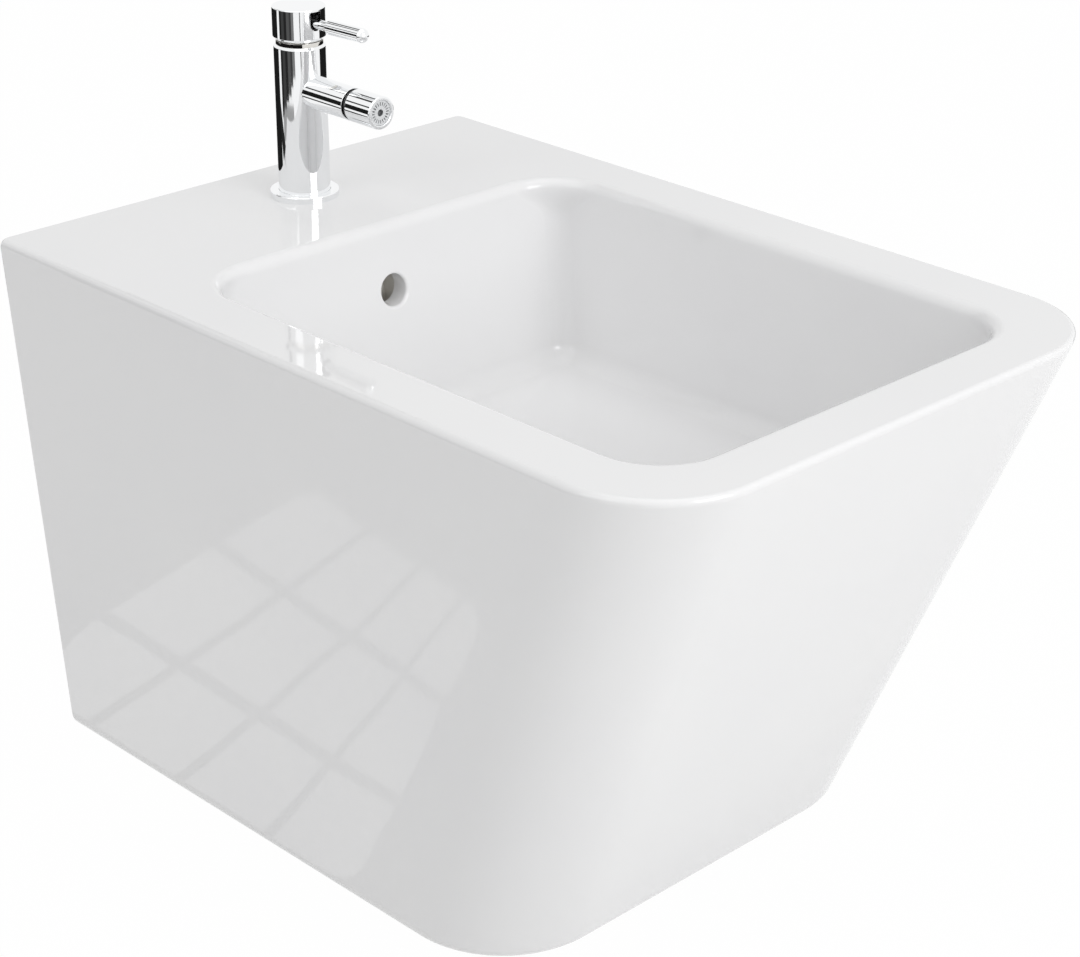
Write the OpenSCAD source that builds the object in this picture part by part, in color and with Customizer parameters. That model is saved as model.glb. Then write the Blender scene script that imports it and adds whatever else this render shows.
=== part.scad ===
// Wall-hung square bidet with a single-lever mixer tap.
// Millimetres. The origin is midway between the two wall-fixing holes, on the wall face.
// +X is to the right seen from the front, the front faces -Y and +Z is up.

/* [Ceramic body] */
// Width across the top
body_w = 370; // [350:1:400]
// Projection from the wall at the top
body_l = 535; // [520:1:570]
// Height from the underside to the rim
body_h = 337; // [320:1:360]
// Width across the underside
base_w = 323; // [300:1:345]
// Projection from the wall at the underside
base_l = 401; // [385:1:430]
// Radius of the front corners at the top
top_corner_r = 64.5; // [50:0.5:75]
// Radius of the front corners at the underside
base_corner_r = 67; // [50:0.5:75]
// Radius of the corners that stand against the wall
back_corner_r = 3; // [2:0.5:8]
// Rounding of the top edge
top_edge_r = 4.5; // [3:0.5:6]
// Rounding of the bottom edge
base_edge_r = 9; // [5:0.5:10]
// Thickness of the outer walls
wall_t = 12; // [10.5:0.5:14]
// Thickness of the deck under the rim
deck_t = 14; // [12:0.5:18]
// Thickness of the back wall
back_t = 14; // [12:0.5:18]

/* [Bowl] */
// Width of the opening between the side walls
opening_w = 286; // [270:1:290]
// Distance from the wall face to the back wall of the bowl
deck_depth = 133; // [125:1:145]
// Width of the rim at the front
front_rim = 39.5; // [38:0.5:50]
// Plan radius of the corners of the opening
opening_corner_r = 37; // [30:1:50]
// Plan radius of the corners between the walls
wall_corner_r = 13; // [12:1:20]
// Depth at which the corners have tightened to that radius
corner_blend = 26; // [20:1:35]
// Depth of the floor below the rim
floor_depth = 117; // [112:1:117]
// Inward lean of each side wall over the floor depth
side_draft = 11; // [8:1:20]
// Inward lean of the back wall over the floor depth
back_draft = 21; // [15:1:25]
// Inward lean of the front wall over the floor depth
front_draft = 39; // [38:1:50]
// Rounding of the edge between the rim and the bowl
rim_edge_r = 6; // [4:0.5:7]
// Rounding between the walls and the floor
floor_edge_r = 11; // [8:1:11]
// Thickness of the bowl wall
bowl_wall_t = 12; // [10:0.5:13]

/* [Overflow] */
// Diameter of the overflow hole
overflow_d = 19.5; // [16:0.5:21]
// Depth of the overflow hole below the rim
overflow_depth = 41; // [36:1:46]
// Width of the channel behind the overflow
channel_w = 22; // [21:0.5:26]
// Front to back depth of the channel
channel_t = 12; // [10:0.5:14]
// Wall around the channel
channel_wall_t = 8; // [6:0.5:10]
// Height of the channel above the overflow hole
channel_headroom = 1.5; // [1:0.5:4]
// Depth of the channel's ceiling below the waste seat
channel_drop = 10; // [9.5:0.5:12]

/* [Wall fixings] */
// Distance between the two fixing holes
fixing_span = 180; // [175:1:190]
// Depth of the fixing holes below the rim
fixing_drop = 85; // [78:1:95]
// Diameter of the hole in the ceramic
fixing_hole_d = 20; // [18:0.5:22]
// Diameter of the bore in each sleeve
sleeve_bore_d = 13; // [12.5:0.5:14]
// Diameter of the pad round each fixing hole
fixing_pad_d = 52; // [46:1:60]
// Extra thickness of the pad
fixing_pad_t = 10; // [6:0.5:14]
// Diameter of the sleeve's flange
sleeve_flange_d = 32; // [28:0.5:36]
// Thickness of the sleeve's flange
sleeve_flange_t = 3; // [2:0.5:4]
// Width of the pipe opening in the back wall
pipe_opening_w = 200; // [150:1:210]
// Height of the pipe opening above the underside
pipe_opening_h = 175; // [140:1:185]
// Rounding of the pipe opening's upper corners
pipe_corner_r = 30; // [15:1:40]
// Distance of each stiffening rib from the centre
rib_x = 132; // [124:1:138]
// Thickness of the stiffening ribs
rib_t = 10; // [8:0.5:12]
// Height of the stiffening ribs below the deck
rib_h = 140; // [120:1:150]

/* [Waste] */
// Distance from the wall face to the waste
waste_offset = 215; // [212:1:225]
// Depth of the waste seat below the rim
drain_depth = 119; // [118:1:122]
// Flat round the waste in the floor
drain_flat_r = 36; // [35.5:0.5:38]
// Diameter of the waste hole in the ceramic
waste_hole_d = 45; // [44:0.5:46]
// Diameter of the boss round the waste hole
waste_boss_d = 84; // [80:1:90]
// Height of the boss below the waste seat
waste_boss_h = 38; // [34:1:42]
// Outer diameter of the threaded tail
tail_d = 41.9; // [41:0.1:42]
// Inner diameter of the tail
tail_bore_d = 35; // [33:0.5:36]
// Length of the tail below the waste seat
tail_l = 100; // [90:1:120]
// Diameter of the waste flange
flange_d = 64; // [62:0.5:65]
// Height of the flange's rim above the waste seat
flange_lip = 1.5; // [1:0.1:2]
// Sheet thickness of the dished flange, measured level
flange_t = 3.7; // [3:0.1:4]
// Thickness of the seal under the flange, measured level
flange_seal_t = 2; // [1.5:0.1:2.5]
// Height of the lower seal
lower_seal_h = 10; // [6:0.5:14]
// Diameter of the lower seal
lower_seal_d = 62; // [56:1:70]
// Height of the back nut
back_nut_h = 12; // [8:0.5:16]
// Width of the back nut across its flats
back_nut_af = 52; // [50:0.5:58]
// Diameter of the waste cap
cap_d = 55; // [52:0.5:56]
// Distance of the cap's skirt inside its edge
cap_skirt_inset = 3.1; // [2.8:0.1:3.4]
// Section diameter of the cap's seal
cap_seal_t = 2.4; // [2:0.1:2.6]
// Depth of the cap's seal below the waste seat
cap_seal_depth = 1.9; // [1.8:0.1:2]
// Height that the waste cap rises
cap_travel = 8; // [5:0.5:10]
// Diameter of the cap's stem
cap_stem_d = 6; // [5:0.5:7]
// Outer diameter of the click mechanism
click_d = 13; // [12:0.5:15]
// Length of the click mechanism
click_l = 28; // [26:0.5:32]
// Depth of the click mechanism's top below the waste seat
click_top = 6; // [5.5:0.5:8]
// Thickness of the click mechanism's closed end
click_base_t = 3; // [2:0.5:4]
// Length of the stem that stays guided with the cap up
stem_guide_l = 12; // [8:0.5:13]

/* [Tap body] */
// Distance from the wall face to the tap
tap_offset = 57.5; // [54:0.5:62]
// Diameter of the tap hole in the deck
tap_hole_d = 35; // [33:0.5:36]
// Diameter of the tap body
tap_d = 31.8; // [31:0.1:33]
// Height of the cartridge seat above the deck
seat_h = 75; // [68:0.5:84]
// Height of the tap body above the cartridge seat
tap_rise = 20.7; // [19.7:0.1:21.5]
// Bevel of the tap body's top edge
tap_bevel = 1.3; // [0.8:0.1:1.6]
// Bevel of the fine edges of the chromed pieces
fine_bevel = 0.4; // [0.2:0.1:0.5]
// Diameter of the base ring
base_ring_d = 42.6; // [41:0.2:46]
// Height of the base ring
base_ring_h = 4; // [3:0.5:6]
// Thickness of the ledge that carries the tap body
base_ledge_t = 1.5; // [1:0.1:2]
// Diameter of the opening in the base ring's ledge
base_ledge_d = 27; // [26:0.5:29]
// Width of the base seal
base_seal_w = 1.6; // [1.2:0.1:2]
// Height of the base seal
base_seal_h = 1; // [0.8:0.1:1.2]
// Distance of each inlet from the centre
inlet_x = 6.3; // [6:0.1:6.5]
// Distance of the inlets behind the tap's axis
inlet_y = 3.5; // [3:0.1:4]
// Diameter of the inlet threads' inner wall
inlet_d = 9; // [8.6:0.1:9.4]
// Depth of the inlet threads
inlet_l = 12; // [10:0.5:14]
// Diameter of the water passages
passage_d = 4.4; // [4:0.1:4.6]
// Distance of the outlet passage in front of the tap's axis
outlet_y = 6; // [5.5:0.1:6.5]

/* [Spout and aerator] */
// Depth of the spout's axis below the cartridge seat
spout_drop = 7.2; // [7:0.1:8.5]
// Diameter of the spout
spout_d = 20; // [19.5:0.1:21]
// Distance from the tap's axis to the spout's end
spout_l = 49; // [47:0.5:60]
// Diameter of the spigot that enters the tap body
spigot_d = 12; // [11:0.5:12.5]
// Bore through the spout's spigot
spigot_bore_d = 8; // [7:0.5:9]
// Distance from the tap's axis to the end of the spigot
spigot_start = 8; // [7.5:0.5:9]
// Diameter of the thread that holds the nipple
nipple_thread_d = 14; // [13:0.5:15]
// Length of the nipple's thread
nipple_thread_l = 8; // [6:0.5:10]
// Diameter of the nipple's neck
nipple_neck_d = 7.2; // [6.8:0.1:7.4]
// Diameter of the nipple's round head
nipple_head_d = 11.2; // [11:0.1:11.4]
// Distance from the tap body's surface to that thread
socket_l = 4; // [3.5:0.1:5]
// Water bore of the nipple
nipple_bore_d = 4.6; // [4:0.1:5]
// Width of the gap between the spout and the aerator housing
swivel_gap = 3; // [2.9:0.1:3.4]
// Diameter of the swivel ball
swivel_ball_d = 18.8; // [18.6:0.1:18.9]
// Diameter of the neck that holds the ball in the housing
ball_neck_d = 17; // [16.5:0.1:17.2]
// Length of that neck
ball_neck_l = 6; // [5:0.5:7]
// Angles at which the seal ring starts and ends, behind the ball's equator
seal_from = 34; // [32:1:36]
seal_to = 49; // [47:1:51]
// Thickness of the swivel seal ring
swivel_seal_t = 0.4; // [0.3:0.05:0.42]
// Length of the aerator housing
housing_l = 22; // [20:0.5:26]
// Length of the housing's front lip
housing_lip_l = 3; // [2:0.5:4]
// Opening in the housing's front lip
housing_lip_d = 15.4; // [14.5:0.1:15.8]
// Thickness of the aerator's washer
aerator_seal_t = 2; // [1.5:0.1:2.5]
// Bore of the aerator's washer
aerator_seal_bore_d = 10; // [9:0.5:12]
// Recess of the aerator's face inside the lip
face_recess = 0.8; // [0.5:0.1:1.5]
// Number of radial slots in the aerator's face
slot_count = 20; // [12:1:24]
// Inner radius of the radial slots
slot_inner_r = 4.4; // [4:0.1:4.8]
// Outer radius of the radial slots
slot_outer_r = 6.4; // [6:0.1:6.8]
// Width of the radial slots
slot_w = 0.7; // [0.5:0.05:0.8]
// Depth of the radial slots
slot_depth = 2; // [1:0.1:3]

/* [Cartridge] */
// Diameter of the cartridge
cartridge_d = 24.8; // [24.5:0.1:25]
// Wall of the cartridge housing
cartridge_wall = 1.3; // [1.1:0.1:1.4]
// Thickness of the cartridge's base
cartridge_base_t = 2; // [1.8:0.1:2.2]
// Thickness of the lower ceramic disc
lower_disc_t = 2.5; // [2.3:0.1:2.6]
// Thickness of the upper ceramic disc
upper_disc_t = 3.45; // [3.3:0.05:3.5]
// Diameter of the upper ceramic disc
upper_disc_d = 18; // [17.4:0.1:18.2]
// Offset of the upper disc behind the axis when closed
upper_disc_shift = 1.6; // [1.4:0.1:1.7]
// Depth of the finger pocket in the upper disc
pocket_depth = 2.5; // [2.4:0.05:2.6]
// Height of the carrier's flange
carrier_flange_h = 5.2; // [5:0.1:5.4]
// Diameter of the carrier's neck
carrier_neck_d = 18; // [17.6:0.1:18.2]
// Height of the carrier above the tap body
carrier_rise = 6.9; // [6.5:0.1:7.1]
// Width of the carrier's slot for the spindle
carrier_slot_w = 7.4; // [7.3:0.1:7.8]
// Length of the carrier's slot
carrier_slot_l = 14; // [13.4:0.1:14.4]
// Thickness of the housing's top lip
housing_top_t = 1; // [0.8:0.1:1.2]
// Outer diameter of the nut's thread
nut_thread_d = 27; // [26.6:0.1:27.2]
// Diameter of the nut's visible collar
nut_collar_d = 29; // [28.4:0.1:29.2]
// Height of the nut's visible collar
nut_collar_h = 2.5; // [2.2:0.1:2.6]
// Section diameter of the port seals
port_seal_t = 1.4; // [1.2:0.1:1.5]
// Ring diameter of the port seals
port_seal_d = 6.4; // [6.2:0.1:6.6]

/* [Handle and lever] */
// Diameter of the handle cap
handle_d = 32.4; // [31.8:0.1:33]
// Height of the cap's top above the lever's axis
handle_rise = 8.8; // [8.2:0.1:11]
// Height of the chamfer under the cap
handle_chamfer_h = 2.2; // [1.6:0.1:2.6]
// Width of the chamfer under the cap
handle_chamfer_w = 2; // [1.4:0.1:2.2]
// Thickness of the cap's top
handle_top_t = 1.3; // [1.1:0.1:1.5]
// Thickness of the cap's side wall
handle_wall = 1.9; // [1.6:0.1:2.2]
// Width of the lever slot
lever_slot_w = 8; // [7.6:0.1:8.6]
// Height of the spindle's pivot above the ceramic finger
finger_arm = 15; // [14.8:0.1:15.2]
// Diameter of the spindle's shaft
spindle_d = 7; // [6.8:0.1:7]
// Diameter of the spindle's head
spindle_head_d = 12; // [11.4:0.1:12.2]
// Height of the spindle's head
spindle_head_h = 10.4; // [10:0.1:10.5]
// Gap between the carrier and the spindle's head
head_gap = 2.2; // [2.1:0.1:2.4]
// Diameter of the finger's round end
finger_d = 4; // [3.8:0.1:4.1]
// Diameter of the finger above its end
finger_neck_d = 3.2; // [3:0.1:3.4]
// Length of the finger between its end and the shaft
finger_neck_l = 1.7; // [1.5:0.1:1.8]
// Diameter of the pivot pin
pivot_d = 2.4; // [2.2:0.1:2.6]
// Height of the lever's axis above the underside of the spindle's head
lever_rise = 5; // [4.7:0.1:5.4]
// Upward slope of the lever at rest, in degrees
lever_slope = 1.5; // [0:0.1:2]
// Diameter of the lever rod
rod_d = 6; // [5.6:0.1:6.4]
// Distance from the tap's axis to the grip
grip_start = 29; // [26:0.5:32]
// Distance from the tap's axis to the end of the grip
grip_end = 62; // [55:0.5:80]
// Diameter of the grip
grip_d = 8.8; // [8:0.1:10]
// Length of the grip's domed end
grip_dome_l = 4; // [3:0.1:4]
// Depth of the rod's seat in the grip
grip_seat_l = 15; // [10:0.5:18]
// Diameter of the cap's fixing screw
cap_screw_d = 3; // [2.5:0.1:3]
// Diameter of the lever's set screw
set_screw_d = 4; // [3:0.1:4]

/* [Tap fixing] */
// Diameter of the stud under the tap
stud_d = 6; // [5:0.5:6]
// Length of the stud
stud_l = 70; // [60:1:90]
// Distance of the stud in front of the tap's axis
stud_y = 9.5; // [9.3:0.1:9.6]
// Depth of the stud's thread in the tap body
stud_seat_l = 12; // [8:0.5:14]
// Diameter of the clamp plates
clamp_d = 46; // [42:0.5:52]
// Width of the hose notch in the clamp plates
clamp_notch_w = 22; // [21.6:0.1:23]
// Radius of the notch's inner corners
clamp_notch_r = 4; // [2:0.5:5]
// Thickness of the rubber clamp plate
clamp_rubber_t = 3; // [2:0.5:4]
// Thickness of the metal clamp plate
clamp_metal_t = 2.5; // [2:0.5:3]
// Width of the stud nut across its flats
stud_nut_af = 10; // [9:0.5:11]
// Height of the stud nut
stud_nut_h = 8; // [6:0.5:12]

/* [Clearances] */
// Radial clearance of a turning or sliding fit
running_fit = 0.05; // [0.02:0.01:0.1]
// Gap between moving pieces that don't guide each other
moving_gap = 0.3; // [0.25:0.05:0.4]
// Radial clearance of a piece put into its seat
seat_fit = 0.05; // [0.02:0.01:0.1]
// Clearance of the finger on each side of its pocket
pocket_fit = 0.2; // [0.15:0.05:0.25]

/* [Hidden] */
$fn = 64;
// Segments of a plan corner, of a rounded edge, of the corners' blend and of a dome
corner_steps = 12;
edge_steps = 4;
blend_steps = 4;
dome_steps = 8;
// Overshoot of cuts past the face that they open
cut = 1;

rim_z = fixing_drop;
base_z = rim_z - body_h;
taper_w = (body_w - base_w) / body_h;
taper_l = (body_l - base_l) / body_h;
taper_r = (top_corner_r - base_corner_r) / body_h;
deck_under_z = rim_z - deck_t;
waste_z = rim_z - drain_depth;
seat_cone_r = flange_d / 2 + flange_seal_t + 2 * seat_fit;
seat_cone_h = seat_cone_r - waste_hole_d / 2;

cap_skirt_r = cap_d / 2 - cap_skirt_inset;

ledge_top = base_ledge_t;
tap_h = seat_h + tap_rise;
spout_h = seat_h - spout_drop;
carrier_top_h = tap_h + carrier_rise;
spindle_head_z = carrier_top_h + head_gap;
lever_h = spindle_head_z + lever_rise;
handle_top_h = lever_h + handle_rise;
body_bore_d = cartridge_d + 2 * seat_fit;
lower_disc_h = seat_h + cartridge_base_t;
upper_disc_h = lower_disc_h + lower_disc_t + running_fit;
carrier_h = upper_disc_h + upper_disc_t + moving_gap;
carrier_flange_d = cartridge_d - 2 * cartridge_wall - 2 * moving_gap;
housing_lip_h = carrier_h + carrier_flange_h + moving_gap;
nut_h = housing_lip_h + housing_top_t;
pocket_floor_h = upper_disc_h + upper_disc_t - pocket_depth;
finger_h = pocket_floor_h + moving_gap + finger_d / 2;
pivot_h = finger_h + finger_arm;
handle_h = tap_h + nut_collar_h + moving_gap;
cap_screw_h = (handle_h + carrier_top_h) / 2;
shaft_foot_h = finger_h + finger_d / 2 + finger_neck_l;

socket_start = tap_d / 2 + socket_l;
swivel_c = spout_l + swivel_gap;
swivel_ball_r = swivel_ball_d / 2;
swivel_seat_r = swivel_ball_r + swivel_seal_t + 2 * running_fit;
nipple_front = swivel_c - swivel_seat_r;
aerator_end = swivel_c + housing_l;
lip_start = aerator_end - housing_lip_l;
washer_start = swivel_c + ball_neck_l;
insert_start = washer_start + aerator_seal_t;

// One rounded corner of a plan outline
function corner(x, y, r, start) = [
    for (i = [0:corner_steps])
        let (a = start + 90 * i / corner_steps)
            [x + r * cos(a), y + r * sin(a)]
];

// Outline of width w from y_back to y_front, with rounded corners, anticlockwise from above
function outline(w, y_back, y_front, r_back, r_front) = concat(
    corner(w / 2 - r_back, y_back - r_back, r_back, 0),
    corner(r_back - w / 2, y_back - r_back, r_back, 90),
    corner(r_front - w / 2, y_front + r_front, r_front, 180),
    corner(w / 2 - r_front, y_front + r_front, r_front, 270)
);

// Ring of points at one height
function ring(points, z) = [for (p = points) [p[0], p[1], z]];

// Outline of the outer wall at height z, moved in by the inset on the sides and the front
function wall_ring(z, inset, y_back) =
    let (up = z - base_z)
    ring(outline(base_w + taper_w * up - 2 * inset, y_back, inset - base_l - taper_l * up,
                 back_corner_r, base_corner_r + taper_r * up - inset), z);

// Outline of the bowl at a depth below the rim, moved out by the offset
function bowl_ring(depth, offset) =
    let (part = depth / floor_depth, r = bowl_corner(depth) + offset)
    ring(outline(opening_w - 2 * side_draft * part + 2 * offset,
                 offset - bowl_back(depth),
                 front_rim - body_l + front_draft * part - offset,
                 r, r), rim_z - depth);

// Distance from the wall face to the bowl's back wall at a depth below the rim
function bowl_back(depth) = deck_depth + back_draft * depth / floor_depth;

// Plan radius of the bowl's corners at a depth: it falls smoothly below the rim, then stays
function bowl_corner(depth) =
    wall_corner_r + (opening_corner_r - wall_corner_r) * (1 + cos(180 * min(1, depth / corner_blend))) / 2;

// Depths of the rings between the rim's rounding and the end of the corners' blend, from the lowest
function blend_depths() =
    [for (i = [blend_steps:-1:1]) rim_edge_r + (corner_blend - rim_edge_r) * i / blend_steps];

// Angles along a quarter circle
function quarter() = [for (i = [0:edge_steps]) 90 * i / edge_steps];

// Solid skinned through rings that are listed from the lowest to the highest
module skin(rings) {
    n = len(rings[0]);
    top = len(rings) - 1;
    points = [for (r = rings) for (p = r) p];
    sides = [
        for (i = [0:top - 1]) for (j = [0:n - 1])
            let (a = i * n + j, b = i * n + (j + 1) % n, c = b + n, d = a + n)
                each [[a, d, c], [a, c, b]]
    ];
    lower = [[for (j = [0:n - 1]) j]];
    upper = [[for (j = [0:n - 1]) top * n + n - 1 - j]];
    polyhedron(points = points, faces = concat(lower, sides, upper));
}

module on_tap() {
    translate([0, -tap_offset, rim_z]) children();
}

// Turns a piece so that its +Z runs forward along the spout's axis
module on_spout() {
    on_tap() translate([0, 0, spout_h]) rotate([90, 0, 0]) children();
}

// Turns a piece so that its +Z runs out along the lever
module on_lever() {
    on_tap() translate([0, 0, lever_h]) rotate([90 - lever_slope, 0, 0]) children();
}

module at_waste() {
    translate([0, -waste_offset, waste_z]) children();
}

module tube(outer_d, inner_d, h) {
    difference() {
        cylinder(d = outer_d, h = h);
        translate([0, 0, -cut]) cylinder(d = inner_d, h = h + 2 * cut);
    }
}

module hexagon(across_flats, h) {
    linear_extrude(h) circle(d = across_flats / cos(30), $fn = 6);
}

module outer_form() {
    lower = [for (a = quarter())
        wall_ring(base_z + base_edge_r * (1 - cos(a)), base_edge_r * (1 - sin(a)), 0)];
    upper = [for (a = quarter())
        wall_ring(rim_z - top_edge_r * (1 - sin(a)), top_edge_r * (1 - cos(a)), 0)];
    skin(concat(lower, upper));
}

module service_hollow() {
    skin([
        wall_ring(base_z - cut, wall_t, -back_t),
        wall_ring(deck_under_z, wall_t, -back_t)
    ]);
}

module bowl_shell() {
    r = floor_edge_r + bowl_wall_t;
    depth = drain_depth + bowl_wall_t;
    floor_rings = [for (a = quarter())
        bowl_ring(depth - r * (1 - cos(a)), bowl_wall_t - r * (1 - sin(a)))];
    blend_rings = [for (d = blend_depths()) bowl_ring(d, bowl_wall_t)];
    skin(concat(floor_rings, blend_rings, [bowl_ring(deck_t / 2, bowl_wall_t)]));
}

module bowl_hollow() {
    drain = ring(outline(2 * drain_flat_r, drain_flat_r - waste_offset, -drain_flat_r - waste_offset,
                         drain_flat_r, drain_flat_r), waste_z);
    floor_rings = [for (a = quarter())
        bowl_ring(floor_depth - floor_edge_r * (1 - cos(a)), -floor_edge_r * (1 - sin(a)))];
    blend_rings = [for (d = blend_depths()) bowl_ring(d, 0)];
    rim_rings = [for (a = quarter())
        bowl_ring(rim_edge_r * (1 - sin(a)), rim_edge_r * (1 - cos(a)))];
    skin(concat([drain], floor_rings, blend_rings, rim_rings, [bowl_ring(-cut, rim_edge_r)]));
}

// Side view of the overflow channel, grown by a margin: down behind the bowl, then forward
// under its floor to the waste hole
module channel_profile(margin) {
    top = overflow_depth - overflow_d / 2 - channel_headroom - margin;
    floor_top = drain_depth + channel_drop - margin;
    floor_under = drain_depth + channel_drop + channel_t + margin;
    lean = bowl_wall_t + margin;
    polygon([
        [bowl_wall_t - margin - bowl_back(top), -top],
        [lean + channel_t - bowl_back(top), -top],
        [lean + channel_t - bowl_back(floor_under), -floor_under],
        [-waste_offset, -floor_under],
        [-waste_offset, -floor_top],
        [bowl_wall_t - margin - bowl_back(floor_top), -floor_top]
    ]);
}

module overflow_channel(width, margin) {
    translate([-width / 2, 0, rim_z])
        rotate([90, 0, 90])
            linear_extrude(width) channel_profile(margin);
}

module stiffening_ribs() {
    for (side = [-1, 1])
        translate([side * rib_x - rib_t / 2, -bowl_back(deck_t) - 2 * bowl_wall_t, deck_under_z - rib_h])
            cube([rib_t, bowl_back(deck_t) + 2 * bowl_wall_t - back_t / 2, rib_h + deck_t / 2]);
}

// Places its children at the two wall fixings with their +Z into the room
module at_fixings() {
    for (side = [-1, 1])
        translate([side * fixing_span / 2, 0, 0]) rotate([90, 0, 0]) children();
}

module pipe_opening() {
    straight_h = pipe_opening_h - pipe_corner_r;
    translate([0, cut, base_z]) rotate([90, 0, 0]) linear_extrude(back_t + 2 * cut) {
        translate([-pipe_opening_w / 2, -cut]) square([pipe_opening_w, straight_h + cut]);
        translate([pipe_corner_r - pipe_opening_w / 2, 0])
            square([pipe_opening_w - 2 * pipe_corner_r, pipe_opening_h]);
        for (side = [-1, 1])
            translate([side * (pipe_opening_w / 2 - pipe_corner_r), straight_h]) circle(r = pipe_corner_r);
    }
}

// One slip-cast piece: outer walls, deck, hanging bowl, waste boss and overflow channel.
// It is open at the underside and, for the pipes, at the back.
module ceramic_body() {
    color("whitesmoke") difference() {
        union() {
            difference() {
                outer_form();
                service_hollow();
            }
            bowl_shell();
            at_waste() translate([0, 0, -waste_boss_h]) cylinder(d = waste_boss_d, h = waste_boss_h);
            overflow_channel(channel_w + 2 * channel_wall_t, channel_wall_t);
            stiffening_ribs();
            at_fixings() cylinder(d = fixing_pad_d, h = back_t + fixing_pad_t);
        }
        bowl_hollow();
        overflow_channel(channel_w, 0);
        translate([0, cut - bowl_back(overflow_depth) + bowl_wall_t, rim_z - overflow_depth])
            rotate([90, 0, 0]) cylinder(d = overflow_d, h = 2 * bowl_wall_t);
        at_waste() {
            translate([0, 0, -waste_boss_h - cut]) cylinder(d = waste_hole_d, h = waste_boss_h + 2 * cut);
            translate([0, 0, -seat_cone_h])
                cylinder(r1 = waste_hole_d / 2, r2 = seat_cone_r + cut, h = seat_cone_h + cut);
        }
        on_tap() translate([0, 0, -deck_t - cut]) cylinder(d = tap_hole_d, h = deck_t + 2 * cut);
        at_fixings() translate([0, 0, -cut])
            cylinder(d = fixing_hole_d, h = back_t + fixing_pad_t + 2 * cut);
        pipe_opening();
    }
}

// Plastic sleeves that keep the wall studs off the ceramic
module fixing_sleeves() {
    pad = back_t + fixing_pad_t;
    color("gainsboro") at_fixings() difference() {
        union() {
            cylinder(d = fixing_hole_d - 2 * seat_fit, h = pad);
            translate([0, 0, pad]) cylinder(d = sleeve_flange_d, h = sleeve_flange_t);
        }
        translate([0, 0, -cut]) cylinder(d = sleeve_bore_d, h = pad + sleeve_flange_t + 2 * cut);
    }
}

// Dished flange, threaded tail with overflow windows, and the spider that holds the mechanism
module waste_body() {
    flange_r = flange_d / 2;
    tail_r = tail_d / 2;
    bore_r = tail_bore_d / 2;
    throat = flange_r - flange_t;
    hub_w = 2.5;
    hub_h = 6;
    arm_w = 3;
    arm_count = 3;
    window_w = 12;
    window_margin = 1;
    flange_foot_w = 2;
    relief_w = 1;
    relief_t = 0.5;
    relief_z = waste_boss_h + lower_seal_h + back_nut_h + 3 * relief_w;
    foot_r = tail_r + flange_foot_w;
    color("silver") at_waste() {
        difference() {
            rotate_extrude() polygon([
                [flange_r, flange_lip], [flange_r, 0],
                [foot_r, foot_r - flange_r], [tail_r, foot_r - flange_r],
                [tail_r, relief_w - relief_z], [tail_r - relief_t, relief_w - relief_z],
                [tail_r - relief_t, -relief_z], [tail_r, -relief_z],
                [tail_r, -tail_l], [bore_r, -tail_l],
                [bore_r, bore_r - throat], [throat + flange_lip, flange_lip]
            ]);
            for (turn = [0, 90])
                rotate(turn) translate([-tail_d, -window_w / 2, -channel_drop - channel_t])
                    cube([2 * tail_d, window_w, channel_t - window_margin]);
        }
        translate([0, 0, -click_l]) {
            tube(click_d + 2 * hub_w, click_d + 2 * seat_fit, hub_h);
            for (i = [0:arm_count - 1])
                rotate(90 + 360 * i / arm_count) translate([click_d / 2 + hub_w / 2, -arm_w / 2, 0])
                    cube([(bore_r + tail_r) / 2 - click_d / 2 - hub_w / 2, arm_w, hub_h]);
        }
    }
}

// Rubber cone between the dished flange and the ceramic
module waste_upper_seal() {
    seal_top = 1;
    seal_foot = 7.5;
    top_r = flange_d / 2 - seal_top + seat_fit;
    foot_r = flange_d / 2 - seal_foot + seat_fit;
    color("dimgray") at_waste() rotate_extrude() polygon([
        [top_r, -seal_top], [top_r + flange_seal_t, -seal_top],
        [foot_r + flange_seal_t, -seal_foot], [foot_r, -seal_foot]
    ]);
}

module waste_lower_seal() {
    inner = tail_d / 2 + seat_fit;
    foot_w = 4;
    color("dimgray") at_waste() translate([0, 0, -waste_boss_h]) rotate_extrude() polygon([
        [inner, 0], [lower_seal_d / 2, 0], [lower_seal_d / 2, -lower_seal_h / 3],
        [tail_d / 2 + foot_w, -lower_seal_h], [inner, -lower_seal_h]
    ]);
}

module waste_back_nut() {
    color("darkgoldenrod") at_waste() translate([0, 0, -waste_boss_h - lower_seal_h - back_nut_h])
        difference() {
            hexagon(back_nut_af, back_nut_h);
            translate([0, 0, -cut]) cylinder(d = tail_d + 2 * seat_fit, h = back_nut_h + 2 * cut);
        }
}

module click_mechanism() {
    color("white") at_waste() translate([0, 0, -click_top - click_l]) difference() {
        cylinder(d = click_d, h = click_l);
        translate([0, 0, click_base_t]) cylinder(d = cap_stem_d + 2 * running_fit, h = click_l);
    }
}

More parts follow.
